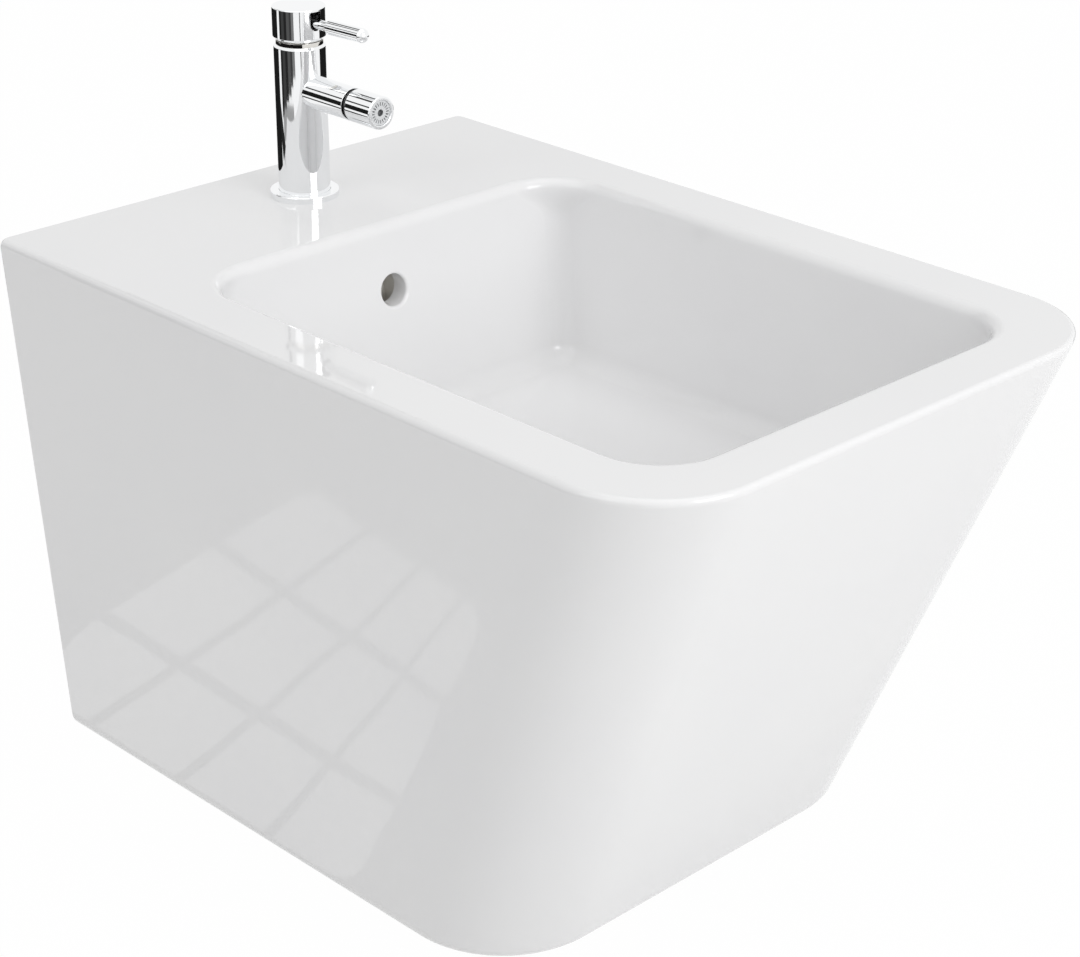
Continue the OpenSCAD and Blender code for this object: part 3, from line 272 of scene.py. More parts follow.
def box_rings(low, high):
    """A block between two corners, as two square rings."""
    x, y = np.array([low[0], high[0], high[0], low[0]]), np.array([low[1], low[1], high[1], high[1]])
    return np.stack([np.stack([x, y, np.full(4, z)], -1) for z in (low[2], high[2])])


def boolean(piece, kind, cutters):
    """Adds solids to a piece, or takes them away, and deletes them."""
    group = bpy.data.collections.new("cutters")
    for cutter in cutters:
        scene.collection.objects.unlink(cutter)
        group.objects.link(cutter)
    scene.collection.children.link(group)
    step = piece.modifiers.new(kind, "BOOLEAN")
    step.operation, step.operand_type, step.collection = kind, "COLLECTION", group
    step.solver, step.material_mode = "EXACT", "TRANSFER"
    bake(piece)
    for cutter in cutters:
        bpy.data.objects.remove(cutter)
    bpy.data.collections.remove(group)


def bake(piece):
    """Replaces a piece's mesh by what its modifiers make of it."""
    shown = bpy.context.evaluated_depsgraph_get()
    mesh = bpy.data.meshes.new_from_object(piece.evaluated_get(shown))
    piece.modifiers.clear()
    piece.data = mesh


def even_normals(piece, angle):
    """Marks edges sharper than the angle, and weights the normals by area, so that flat faces stay flat next to
    rounded edges."""
    piece.data.shade_smooth()
    piece.data.set_sharp_from_angle(angle=math.radians(angle))
    weighted = piece.modifiers.new("even_normals", "WEIGHTED_NORMAL")
    weighted.keep_sharp = True
    weighted.weight = 100


def bevelled(piece, width, steps=3, angle=30.0):
    """Rounds all edges of a piece that are sharper than the angle."""
    edge = piece.modifiers.new("edge", "BEVEL")
    edge.width, edge.segments, edge.limit_method, edge.angle_limit = width * MM, steps, "ANGLE", math.radians(angle)
    bake(piece)
    return piece


def linear(colour):
    """Turns an sRGB hex colour into linear red, green, blue and alpha."""
    parts = [int(colour[i:i + 2], 16) / 255 for i in (1, 3, 5)]
    return [c / 12.92 if c <= 0.04045 else ((c + 0.055) / 1.055) ** 2.4 for c in parts] + [1.0]


def add_node(tree, kind, inputs=None, **settings):
    """Adds one node, gives it its settings, and fills its inputs with values or with links from other sockets."""
    made = tree.nodes.new(kind)
    for name, value in settings.items():
        setattr(made, name, value)
    for name, value in (inputs or {}).items():
        if isinstance(value, bpy.types.NodeSocket):
            tree.links.new(value, made.inputs[name])
        else:
            made.inputs[name].default_value = value
    return made


def new_material(name):
    """An empty material: its node tree, and the output that its shader goes to."""
    made = bpy.data.materials.new(name)
    made.use_nodes = True
    made.node_tree.nodes.clear()
    return made, made.node_tree, made.node_tree.nodes.new("ShaderNodeOutputMaterial")


def mottled(name, waves, detail, light, dark, roughness, ior, relief=None):
    """A fired or moulded material, whose noise mixes two colours. waves is how many of its waves go into a metre, which
    is 1000 over their size in mm, and relief is the strength and the depth in metres that the noise is raised by."""
    made, tree, output = new_material(name)
    place = add_node(tree, "ShaderNodeTexCoord")
    noise = add_node(tree, "ShaderNodeTexNoise", {
        "Vector": place.outputs["Object"], "Scale": waves, "Detail": detail})
    tint = add_node(tree, "ShaderNodeMix", {"Factor": noise.outputs["Fac"], 6: linear(light), 7: linear(dark)},
                    data_type="RGBA")
    surface = {"Base Color": tint.outputs[2], "Roughness": roughness, "IOR": ior}
    if relief:
        raised = add_node(tree, "ShaderNodeBump", {
            "Height": noise.outputs["Fac"], "Strength": relief[0], "Distance": relief[1]})
        surface["Normal"] = raised.outputs["Normal"]
    shader = add_node(tree, "ShaderNodeBsdfPrincipled", surface)
    tree.links.new(shader.outputs["BSDF"], output.inputs["Surface"])
    return made


# Glazed vitreous china: a clear tin-white glaze about 0.5 mm thick over a white body, fired smooth. The eye sees a deep
# mirror gloss over pure white, with the soft waves that the glaze keeps from flowing, 110 mm long and below 0.4 mm.
china = mottled("glazed_vitreous_china", 9.0, 1.0, "#F0F0F0", "#ECECED", 0.042, 1.52, (1.0, 0.0004))

# Bare vitreous china on the inside and against the wall, where the glaze is only a thin mist: dull and slightly warm,
# with a grain drawn 2.4 mm wide, coarser than the real one so that it shows.
bare_china = mottled("unglazed_vitreous_china", 420.0, 3.0, "#EBE9E4", "#E1DED7", 0.5, 1.52, (0.5, 0.0002))


def coated(piece, material):
    """Gives a piece its only material."""
    piece.data.materials.clear()
    piece.data.materials.append(material)
    return piece


def face_centres(piece):
    """The middle of each face in mm, as columns x, y and z."""
    centres = np.empty(len(piece.data.polygons) * 3)
    piece.data.polygons.foreach_get("center", centres)
    return centres.reshape(-1, 3) / MM


def coat_faces(piece, chosen, material):
    """Gives the chosen faces of a piece a material of their own."""
    kinds = np.empty(len(chosen), dtype=np.int32)
    piece.data.polygons.foreach_get("material_index", kinds)
    if material.name not in piece.data.materials:
        piece.data.materials.append(material)
    kinds[chosen] = piece.data.materials.find(material.name)
    piece.data.polygons.foreach_set("material_index", kinds)


# The casting is hollowed from below. Then the bowl's shell, the overflow channel, two ribs behind the bowl and two pads
# round the fixing holes are added, and at last the openings are cut: bowl and overflow hole glazed, and the rest bare.
ceramic = coated(ring_mesh("ceramic_casting", outer_rings()), china)
inside = coated(ring_mesh("inside", wall_rings(np.array([BASE - 5.0, DECK_UNDER]), WALL, -BACK_WALL)), bare_china)
boolean(ceramic, "DIFFERENCE", [inside])
ribs = [bevelled(ring_mesh("rib", box_rings((x - 5, -159.5, -69), (x + 5, -7, 78))), 3.0) for x in (-132.0, 132.0)]
pad_radius, pad_edge, pad_face = 26.0, 3.0, -21.0
arc = quarter(4)
shrink = np.concatenate([[0.0], pad_edge * (np.cos(arc) - 1)])
pad_y = np.concatenate([[-5.0], pad_face - pad_edge * np.sin(arc)])
pads = [ring_mesh("pad", upright_rings(np.stack([disc_outline(x, 0.0, pad_radius)(s) for s in shrink]), pad_y))
        for x in FIXINGS_X]
channel = bevelled(ring_mesh("channel", channel_rings(38.0, 8.0)), 4.0)
added = [ring_mesh("shell", shell_rings()), channel] + ribs + pads
boolean(ceramic, "UNION", [coated(piece, bare_china) for piece in added])
tap_hole = disc_outline(0.0, TAP_Y, TAP_HOLE_RADIUS)(0.0)
tap_hole = ring_mesh("tap_hole", lifted(np.stack([tap_hole, tap_hole]), (60.0, 95.0)))
fixing_holes = [ring_mesh("fixing_hole", flared_rings(disc_outline(x, 0.0, 10.0), 1.0, (-24.0, 0.0)))
                for x in FIXINGS_X]
bare = [ring_mesh("duct", channel_rings(22.0, 0.0)), tap_hole,
        ring_mesh("pipe_opening", flared_rings(pipe_outline, 2.5, (-BACK_WALL, 0.0)))] + fixing_holes
glazed = [ring_mesh("hollow", hollow_rings()), ring_mesh("overflow", overflow_rings())]
boolean(ceramic, "DIFFERENCE",
        [coated(piece, china) for piece in glazed] + [coated(piece, bare_china) for piece in bare])

# The cuts leave a flap without thickness. Of its two equal faces validate drops one, and the other, now open, goes
# here. The face against the wall is bare.
ceramic.data.validate()
casting = bmesh.new()
casting.from_mesh(ceramic.data)
flaps = {edge.link_faces[0] for edge in casting.edges if edge.is_boundary}
bmesh.ops.delete(casting, geom=list(flaps), context="FACES")
casting.to_mesh(ceramic.data)
casting.free()
coat_faces(ceramic, face_centres(ceramic)[:, 1] > -0.5, bare_china)
even_normals(ceramic, 32.0)
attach(ceramic, "fixed_body")
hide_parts("ceramic_body")


# Wall fixings
# Two flanged sleeves of moulded polypropylene line the fixing holes, so that the steel studs don't touch the china.
# They are pushed in from the room side.


def rounded(corners, steps=4):
    """A closed side view from (radius, distance, rounding) corners. Each corner becomes the arc of its rounding that
    touches both sides: its centre lies on the bisector, and the arc swings from one touching point to the other."""
    points = np.array(corners, float)
    here, size = points[:, :2], points[:, 2:]
    before, after = np.roll(here, 1, 0) - here, np.roll(here, -1, 0) - here
    before = before / np.linalg.norm(before, axis=1, keepdims=True)
    after = after / np.linalg.norm(after, axis=1, keepdims=True)
    half = np.arccos(np.clip((before * after).sum(1, keepdims=True), -1, 1)) / 2
    bisector = before + after
    bisector = bisector / np.maximum(np.linalg.norm(bisector, axis=1, keepdims=True), 1e-9)
    centre = here + bisector * size / np.sin(half)
    start = here + before * size / np.tan(half) - centre
    end = here + after * size / np.tan(half) - centre
    swing = np.maximum(math.pi - 2 * half, 1e-6)[:, None]
    share = np.linspace(0, 1, steps + 1)[None, :, None]
    arc = (np.sin((1 - share) * swing) * start[:, None] + np.sin(share * swing) * end[:, None]) / np.sin(swing)
    return (centre[:, None] + arc).reshape(-1, 2)


def turned(name, parts, origin, axis=(0.0, 0.0, 1.0), columns=96, closed=True):
    """A lathe piece: (radius, distance) points carried round an axis. A part may also hold its own radius and distance
    for each step of the turn, such as a thread. The turn starts at +X."""
    along = np.array(axis)
    side = np.array([1.0, 0.0, 0.0])
    across = np.cross(along, side)
    turn = full_turn(columns)[:, None]
    spoke = np.cos(turn) * side + np.sin(turn) * across
    grid = np.concatenate([np.broadcast_to(part if part.ndim == 3 else part[:, None], (len(part), columns, 2))
                           for part in parts])
    return ring_mesh(name, origin + grid[..., :1] * spoke + grid[..., 1:] * along, closed)


def together(name, pieces):
    """One object from several."""
    merged = bmesh.new()
    for piece in pieces:
        merged.from_mesh(piece.data)
        bpy.data.objects.remove(piece)
    mesh = bpy.data.meshes.new(name)
    merged.to_mesh(mesh)
    merged.free()
    return in_scene(name, mesh)


def settle(piece, material, slot, body, *nodes, angle=32.0):
    """Gives a piece its material and its shading, and puts it in the place of its CAD nodes."""
    coated(piece, material)
    even_normals(piece, angle)
    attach(piece, body)
    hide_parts(*nodes)


# Moulded polypropylene: off-white, a soft satin sheen from the mould, with a faint unevenness about 1 mm wide.
polypropylene = mottled("moulded_polypropylene", 900.0, 2.0, "#EDECE6", "#E2E1DA", 0.36, 1.49, (0.4, 0.0001))

sleeve_view = rounded([(6.5, 0.0, 0.4), (9.95, 0.0, 0.5), (9.95, 24.0, 0.2), (16.0, 24.0, 0.5), (16.0, 27.0, 0.9),
                       (6.5, 27.0, 0.5)])
FORWARD = (0.0, -1.0, 0.0)
sleeves = together("stud_sleeves", [turned("sleeve", [sleeve_view], (x, 0.0, 0.0), FORWARD, 64) for x in FIXINGS_X])
settle(sleeves, polypropylene, "white_plastic", "fixed_body", "fixing_sleeves")

# Waste
# A brass casting, chromed: a dished flange in the bowl's seat, a threaded tail with four windows towards the overflow
# channel, and a spider for the click mechanism. A rubber cone, a rubber ring and a hexagonal nut clamp it.
WASTE = (0.0, WASTE_Y, WASTE_Z)


def thread(radius, depth, pitch, start, end, columns, per_turn=6):
    """A screw thread as a surface: along the axis the radius falls and rises by the depth once per pitch, this wave
    moves on by one pitch over a full turn, and it fades out over the last turn at each end."""
    rows = max(int(abs(end - start) / pitch * per_turn), 2)
    along = np.linspace(start, end, rows)[:, None]
    share = np.arange(columns) / columns
    wave = np.abs((along / pitch - share) % 1.0 * 2 - 1)
    fade = np.clip(np.minimum(np.abs(along - start), np.abs(end - along)) / pitch, 0, 1)
    return np.stack(np.broadcast_arrays(radius - depth * wave * fade, along), -1)


def hexagonal(across_flats, start, end, chamfer, columns):
    """A nut's outside: the radius of a hexagon at each angle, cut down near both ends by a cone."""
    angle = np.arange(columns) / columns * 2 * math.pi
    flat = across_flats / 2 / np.cos(angle % (math.pi / 3) - math.pi / 6)
    depth = np.array([0.0, 0.25, 0.5, 0.75, 1.0]) * chamfer
    along = np.concatenate([start + depth, end - depth[::-1]])
    room = across_flats / 2 - 0.3 + np.minimum(along - start, end - along)[:, None] * 2
    return np.stack(np.broadcast_arrays(np.minimum(flat, room), along[:, None]), -1)


def plated(name, waves, detail, colour, smooth, dull):
    """A plated metal: its noise, again with so many waves in a metre, moves the roughness between smooth and dull."""
    made, tree, output = new_material(name)
    place = add_node(tree, "ShaderNodeTexCoord")
    haze = add_node(tree, "ShaderNodeTexNoise", {
        "Vector": place.outputs["Object"], "Scale": waves, "Detail": detail})
    polish = add_node(tree, "ShaderNodeMapRange", {"Value": haze.outputs["Fac"], "To Min": smooth, "To Max": dull})
    shader = add_node(tree, "ShaderNodeBsdfPrincipled", {
        "Base Color": linear(colour), "Metallic": 1.0, "Roughness": polish.outputs["Result"]})
    tree.links.new(shader.outputs["BSDF"], output.inputs["Surface"])
    return made


# Bright chrome over polished nickel and brass: an almost white mirror, hazier in places about 17 mm wide, as polishing
# by hand leaves it.
chrome = plated("chrome_plated_brass", 60.0, 3.0, "#F4F5F6", 0.02, 0.06)

# Turned and milled brass: warm yellow metal with fine ridges from the tool, drawn 0.6 mm apart, coarser than the real
# ones so that they show, and with tarnish in patches about 7 mm wide.
brass, tree, output = new_material("machined_brass")
place = add_node(tree, "ShaderNodeTexCoord")
ridges = add_node(tree, "ShaderNodeTexWave", {"Vector": place.outputs["Object"], "Scale": 520.0, "Distortion": 0.6},
                  bands_direction="Z")
stain = add_node(tree, "ShaderNodeTexNoise", {"Vector": place.outputs["Object"], "Scale": 140.0, "Detail": 3.0})
tint = add_node(tree, "ShaderNodeMix", {"Factor": stain.outputs["Fac"], 6: linear("#E3C583"), 7: linear("#CFAE69")},
                data_type="RGBA")
cut_marks = add_node(tree, "ShaderNodeBump", {"Height": ridges.outputs["Fac"], "Strength": 0.35, "Distance": 0.00008})
shader = add_node(tree, "ShaderNodeBsdfPrincipled", {
    "Base Color": tint.outputs[2], "Metallic": 1.0, "Roughness": 0.24, "Normal": cut_marks.outputs["Normal"]})
tree.links.new(shader.outputs["BSDF"], output.inputs["Surface"])

# Moulded nitrile rubber: near black and matt, with a dusty, slightly uneven skin in patches of 1.4 mm.
rubber = mottled("moulded_nitrile_rubber", 700.0, 4.0, "#161617", "#2A2A2B", 0.62, 1.52, (0.5, 0.0002))

PER_CORNER = 5
flange_view = rounded([(32.0, 1.5, 0.6), (32.0, 0.0, 0.4), (22.95, -9.05, 0.3), (20.95, -9.05, 0.0),
                       (20.95, -23.0, 0.0), (20.95, -100.0, 0.8), (17.5, -100.0, 0.4), (17.5, -10.8, 3.0),
                       (29.8, 1.5, 0.6)])
tail_start = 5 * PER_CORNER
tail_radius, tail_pitch = 20.95, 2.309
threads = [thread(tail_radius, 0.75, tail_pitch, *ends, 72) for ends in ((-23.0, -62.0), (-63.0, -99.0))]
waste = turned("waste_flange_and_tail", [flange_view[:tail_start]] + threads + [flange_view[tail_start:]], WASTE,
               columns=72)
windows = [ring_mesh("window", WASTE + box_rings(low, high)) for low, high in (
    ((-40.0, -6.0, -22.0), (40.0, 6.0, -11.0)), ((-6.0, -40.0, -22.0), (6.0, 40.0, -11.0)))]
boolean(waste, "DIFFERENCE", windows)
hub = turned("hub", [rounded([(6.55, -28.0, 0.3), (9.0, -28.0, 0.5), (9.0, -22.0, 0.5), (6.55, -22.0, 0.3)])], WASTE,
             columns=48)
arms = []
for turn in np.radians([90.0, 210.0, 330.0]):
    arm = box_rings((7.8, -1.5, -28.0), (19.2, 1.5, -22.0))
    x, y = arm[..., 0].copy(), arm[..., 1].copy()
    arm[..., 0], arm[..., 1] = x * math.cos(turn) - y * math.sin(turn), x * math.sin(turn) + y * math.cos(turn)
    arms.append(bevelled(ring_mesh("arm", WASTE + arm), 0.6))
boolean(waste, "UNION", [hub] + arms)
settle(waste, chrome, "chrome", "fixed_body", "waste_body")

cone = turned("waste_cone_seal", [rounded([(31.05, -1.0, 0.2), (33.05, -1.0, 0.2), (26.55, -7.5, 0.2),
                                           (24.55, -7.5, 0.2)])], WASTE)
settle(cone, rubber, "black_rubber", "fixed_body", "waste_upper_seal")
washer = turned("waste_lower_ring", [rounded([(21.0, -38.0, 0.3), (31.0, -38.0, 0.8), (31.0, -41.33, 0.8),
                                              (24.95, -48.0, 0.8), (21.0, -48.0, 0.3)])], WASTE)
settle(washer, rubber, "black_rubber", "fixed_body", "waste_lower_seal")
back_nut = turned("waste_nut", [hexagonal(52.0, -60.0, -48.0, 2.2, 96),
                                np.array([(22.0, -48.0), (21.0, -49.0), (21.0, -59.0), (22.0, -60.0)])], WASTE)
settle(back_nut, brass, "brass", "fixed_body", "waste_back_nut", angle=25.0)

# Waste cap
# A pressed and chromed brass cap, gently domed, on a stem that clicks in a moulded acetal cartridge. A rubber ring in
# its skirt closes the waste.

# Moulded acetal: white, smooth and slightly waxy, with a low sheen and a faint cloudiness in patches of 2 mm.
acetal = mottled("moulded_white_acetal", 500.0, 2.0, "#F1F0EB", "#E8E7E1", 0.3, 1.48, (0.25, 0.0001))

click_view = rounded([(0.0, -34.0, 0.0), (6.5, -34.0, 0.8), (6.5, -30.0, 0.2), (6.0, -29.6, 0.2), (6.0, -28.4, 0.2),
                      (6.5, -28.0, 0.2), (6.5, -6.0, 0.6), (3.05, -6.0, 0.4), (3.05, -31.0, 0.3), (0.0, -31.0, 0.0)])
click = turned("click_cartridge", [click_view], WASTE, columns=48, closed=False)
settle(click, acetal, "white_plastic", "fixed_body", "click_mechanism")

# The dome is part of a sphere, 3 mm high over a radius of 27.5 mm, and the skirt's ring lies in a round groove. Both
# views next to them leave out their first corner, because the dome or the groove ends there.
cap_radius, cap_rise, cap_top = 27.5, 3.0, 5.5
dome_r = (cap_radius ** 2 + cap_rise ** 2) / (2 * cap_rise)
dome_x = np.linspace(0.0, 26.6, 15)
dome = np.stack([dome_x, cap_top - dome_r + np.sqrt(dome_r ** 2 - dome_x ** 2)], -1)
cap_view = rounded([(26.6, 2.75, 0.0), (27.5, 2.45, 0.5), (27.5, 1.2, 0.4), (24.4, 1.2, 0.3), (24.4, -0.8, 0.0)])
cap_under = rounded([(24.0, -2.9, 0.0), (23.0, -3.6, 0.3), (20.4, -3.6, 0.3), (20.4, -0.5, 0.8), (6.0, -0.5, 0.8),
                     (6.0, -3.6, 0.4), (3.0, -3.6, 0.2), (3.0, -26.0, 0.6), (0.0, -26.0, 0.0)])
groove, around = (np.stack([24.4 + 1.2 * np.cos(turn), -1.9 + 1.2 * np.sin(turn)], -1)
                  for turn in (np.radians(np.linspace(90.0, 244.0, 13)), full_turn(16)))
cap = turned("domed_waste_cap", [dome, cap_view[PER_CORNER:], groove, cap_under[PER_CORNER:]], WASTE, closed=False)
settle(cap, chrome, "chrome", "click_cap", "waste_cap")
cap_ring = turned("waste_cap_ring", [around], WASTE)
settle(cap_ring, rubber, "black_rubber", "click_cap", "waste_cap_seal")

# Tap body
# A turned brass casting, ground, polished and chromed. It stands in a chromed ring on the deck, sealed by a rubber
# ring, and holds the mixer cartridge in its bore, the two inlet threads underneath and the spout's socket in front.
TAP = (0.0, TAP_Y, RIM)


def paint(material, *nodes):
    """Gives CAD nodes that stay as they are their material."""
    for node in nodes:
        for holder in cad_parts[node].material_slots:
            holder.material = material


ring_view = rounded([(13.5, 0.0, 0.1), (18.6, 0.0, 0.1), (18.6, 1.0, 0.1), (20.2, 1.0, 0.1), (20.2, 0.0, 0.1),
                     (21.3, 0.0, 0.15), (21.3, 4.0, 0.7), (15.95, 4.0, 0.3), (15.95, 1.5, 0.1), (13.5, 1.5, 0.2)])
deck_ring = turned("tap_deck_ring", [ring_view], TAP, columns=128)
settle(deck_ring, chrome, "chrome", "fixed_body", "tap_base_ring")
paint(rubber, "tap_base_seal")

body_view = rounded([(0.0, 1.5, 0.0), (15.9, 1.5, 0.4), (15.9, 94.4, 0.25), (14.6, 95.7, 0.2), (13.55, 95.7, 0.15),
                     (13.55, 89.8, 0.2), (12.45, 89.8, 0.2), (12.45, 75.0, 0.4), (0.0, 75.0, 0.0)])
tap_column = turned("tap_column", [body_view], TAP, columns=128, closed=False)
SPOUT = (0.0, TAP_Y, RIM + 67.8)


def drill(radius, start, end, origin, axis=(0.0, 0.0, 1.0), columns=24):
    """A plain cylinder along an axis, that cuts a round hole."""
    view = np.array([(0.0, start), (radius, start), (radius, end), (0.0, end)])
    return turned("drill", [view], origin, axis, columns, closed=False)


# Two passages run up from the inlets and one comes down to the spout. The inlets and the stud's hole are threaded.
drills = [drill(2.2, foot, 76.0, (x, TAP_Y + y, RIM))
          for x, y, foot in ((-6.3, 3.5, 1.0), (6.3, 3.5, 1.0), (0.0, -6.0, 67.8))]
for x, y, radius in ((-6.3, 3.5, 4.95), (6.3, 3.5, 4.95), (0.0, -9.5, 3.0)):
    screw = [np.array([(0.0, 1.0)]), thread(radius, 0.45, 1.0, 1.0, 13.5, 32, 4), np.array([(0.0, 13.5)])]
    drills.append(turned("threaded_hole", screw, (x, TAP_Y + y, RIM), columns=32, closed=False))
drills += [drill(2.2, 3.8, 8.5, SPOUT, FORWARD), drill(6.0, 8.0, 18.0, SPOUT, FORWARD, 48)]
boolean(tap_column, "DIFFERENCE", drills)
settle(tap_column, chrome, "chrome", "fixed_body", "tap_body")

# Tap fixing under the deck
# A zinc-plated steel stud with a horseshoe plate of punched steel, a rubber plate and a brass nut pull the tap down.

# Zinc plating on steel: pale bluish grey and dull, with soft clouds about 6 mm wide, dull where they are dark.
zinc, tree, output = new_material("zinc_plated_steel")
place = add_node(tree, "ShaderNodeTexCoord")
clouds = add_node(tree, "ShaderNodeTexNoise", {"Vector": place.outputs["Object"], "Scale": 180.0, "Detail": 4.0})
tint = add_node(tree, "ShaderNodeMix", {"Factor": clouds.outputs["Fac"], 6: linear("#C4C8CD"), 7: linear("#AEB3B9")},
                data_type="RGBA")
dull = add_node(tree, "ShaderNodeMapRange", {"Value": clouds.outputs["Fac"], "To Min": 0.26, "To Max": 0.42})
shader = add_node(tree, "ShaderNodeBsdfPrincipled", {
    "Base Color": tint.outputs[2], "Metallic": 1.0, "Roughness": dull.outputs["Result"]})
tree.links.new(shader.outputs["BSDF"], output.inputs["Surface"])

STUD = (0.0, TAP_Y - 9.5, RIM)
stud_view = rounded([(0.0, -57.5, 0.0), (2.6, -57.5, 0.0), (3.0, -57.1, 0.0), (3.0, 12.1, 0.0), (2.6, 12.5, 0.0),
                     (0.0, 12.5, 0.0)], 1)
stud_parts = [stud_view[:6], thread(3.0, 0.5, 1.0, -57.0, 12.0, 32), stud_view[6:]]
stud = turned("tap_fixing_stud", stud_parts, STUD, columns=32, closed=False)
settle(stud, zinc, "zinc_steel", "fixed_body", "tap_stud")
nut = turned("tap_fixing_nut", [hexagonal(10.0, -27.5, -19.5, 0.6, 72),
                                np.array([(3.5, -19.5), (3.05, -20.0), (3.05, -27.0), (3.5, -27.5)])], STUD, columns=72)
settle(nut, brass, "brass", "fixed_body", "stud_nut", angle=25.0)
paint(rubber, "clamp_rubber")
paint(zinc, "clamp_plate")

# Mixer cartridge
# An acetal housing with two lapped alumina discs: the lower one stays, the upper one slides on it under the spindle's
# finger. The carrier turns with the handle, and a nickel-plated nut holds it all down in the tap body.

# Lapped alumina: ivory white and dense, flat to a mirror on its faces, with grains drawn 0.7 mm wide.
alumina = mottled("lapped_alumina", 1500.0, 2.0, "#F4F1E8", "#ECE8DC", 0.14, 1.76)

# Nickel plating on turned brass: a slightly warm grey mirror, with haze in patches about 11 mm wide.
nickel = plated("nickel_plated_brass", 90.0, 2.0, "#DDDBD6", 0.02, 0.05)

paint(acetal, "cartridge_housing", "cartridge_carrier")
paint(rubber, "cartridge_port_seals")
paint(alumina, "cartridge_lower_disc", "cartridge_upper_disc")
paint(zinc, "cartridge_pivot_pin")
paint(nickel, "cartridge_spindle")
neck_view = rounded([(9.3, 89.8, 0.2), (13.5, 89.8, 0.3), (13.5, 95.7, 0.0), (14.5, 95.7, 0.1), (14.36, 98.2, 0.15),
                     (9.3, 98.2, 0.2)])
neck = turned("cartridge_ring_nut", [neck_view], TAP, columns=128)
settle(neck, nickel, "brass", "fixed_body", "cartridge_nut")

# Spout
# A chromed brass tube that is ground to a saddle against the column. A brass nipple with a round head is screwed into
# its end and holds the ball of the swivel joint.
COLUMN_RADIUS, SPOUT_STEPS = 15.9, 128


def saddle(radius, gap):
    """Ring of one radius on the column's surface: the distance from the column's axis is the other side of a right
    triangle under the column's radius."""
    reach = np.sqrt(COLUMN_RADIUS ** 2 - (radius * np.cos(full_turn(SPOUT_STEPS))) ** 2) + gap
    return np.stack([np.full(SPOUT_STEPS, radius), reach], -1)[None]


seat_turn = np.radians(np.linspace(17.6, 44.9, 8))
spout_seat = np.stack([9.9 * np.cos(seat_turn), 52.0 - 9.9 * np.sin(seat_turn)], -1)
# Each corner has four points, and the tube's end runs from the last of the first one to the first of the third.
spout_out = rounded([(10.0, 25.0, 0.0), (10.0, 49.0, 0.2), (9.6, 49.0, 0.0)], 3)[3:8]
spout_in = np.array([(7.0, 45.0), (7.0, 19.9), (4.0, 19.9), (4.0, 8.0), (6.0, 8.0), (6.0, 14.5)])
spout = turned("spout_tube", [saddle(9.85, 0.0), saddle(10.0, 0.12), spout_out, spout_seat, spout_in,
                              saddle(6.0, 0.0)], SPOUT, FORWARD, SPOUT_STEPS)
settle(spout, chrome, "chrome", "fixed_body", "tap_spout")
paint(brass, "spout_nipple")

# Swivel aerator
# A black acetal ball with a thin seal band sits on the nipple. The chromed housing is screwed on its neck and holds a
# washer and the moulded jet former with its radial slots.

# Black acetal: moulded and self-lubricating, a deep black with a soft gloss and faint clouds of 1.7 mm.
black_acetal = mottled("moulded_black_acetal", 600.0, 2.0, "#0B0B0C", "#141416", 0.32, 1.48)

ball_turn = np.radians(np.linspace(-70.0, 0.0, 24))
ball_out = np.stack([9.4 * np.cos(ball_turn), 52.0 + 9.4 * np.sin(ball_turn)], -1)
ball_neck = np.array([(8.45, 52.0), (8.45, 58.0), (5.65, 58.0), (5.65, 52.0)])
head_turn = np.radians(np.linspace(0.0, -50.0, 12))
ball_in = np.stack([5.65 * np.cos(head_turn), 52.0 + 5.65 * np.sin(head_turn)], -1)
ball = turned("swivel_joint_ball", [ball_out, ball_neck, ball_in[1:]], SPOUT, FORWARD)
settle(ball, black_acetal, "black_plastic", "aerator", "swivel_ball")
paint(black_acetal, "swivel_seal_ring")

sleeve = turned("aerator_sleeve", [rounded([(8.5, 52.0, 0.1), (10.0, 52.0, 0.35), (10.0, 74.0, 0.6), (7.7, 74.0, 0.5),
                                            (7.7, 71.0, 0.1), (8.5, 71.0, 0.1)])], SPOUT, FORWARD, 128)
settle(sleeve, chrome, "chrome", "aerator", "aerator_housing")
paint(rubber, "aerator_seal")

# Moulded pale grey polymer: the jet former's face, satin with a grain of 1.3 mm, and darker in its slots because they
# are deep. The recess in its middle is painted a darker grey with a grain of 1.1 mm, as painted shade in that recess.
jet_polymer = mottled("moulded_grey_polymer", 800.0, 2.0, "#E2E3E4", "#D6D8DA", 0.35, 1.49)
recess_painted_shade = mottled("jet_recess_painted_shade", 900.0, 2.0, "#7C7E80", "#6E7072", 0.4, 1.49)

jet_view = rounded([(0.0, 71.0, 0.0), (1.9, 71.0, 0.1), (2.1, 73.2, 0.15), (7.65, 73.2, 0.25), (7.65, 71.0, 0.1),
                    (8.45, 71.0, 0.1), (8.45, 60.0, 0.3), (5.0, 60.0, 0.2), (5.0, 70.0, 0.2), (0.0, 70.0, 0.0)])
jets = turned("jet_former", [jet_view], SPOUT, FORWARD, 96, False)
slots = []
for turn in full_turn(20):
    end = np.linspace(-math.pi / 2, math.pi / 2, 5)
    flat = np.concatenate([np.stack([6.2 + 0.35 * np.cos(end), 0.35 * np.sin(end)], -1),
                           np.stack([4.55 - 0.35 * np.cos(end), -0.35 * np.sin(end)], -1)])
    swung = np.stack([flat[:, 0] * math.cos(turn) - flat[:, 1] * math.sin(turn),
                      flat[:, 0] * math.sin(turn) + flat[:, 1] * math.cos(turn)], -1)
    slots.append(ring_mesh("slot", SPOUT + upright_rings(swung, np.array([-64.0, -74.0]))))
boolean(jets, "DIFFERENCE", slots)
settle(jets, jet_polymer, "white_plastic", "aerator", "aerator_insert")
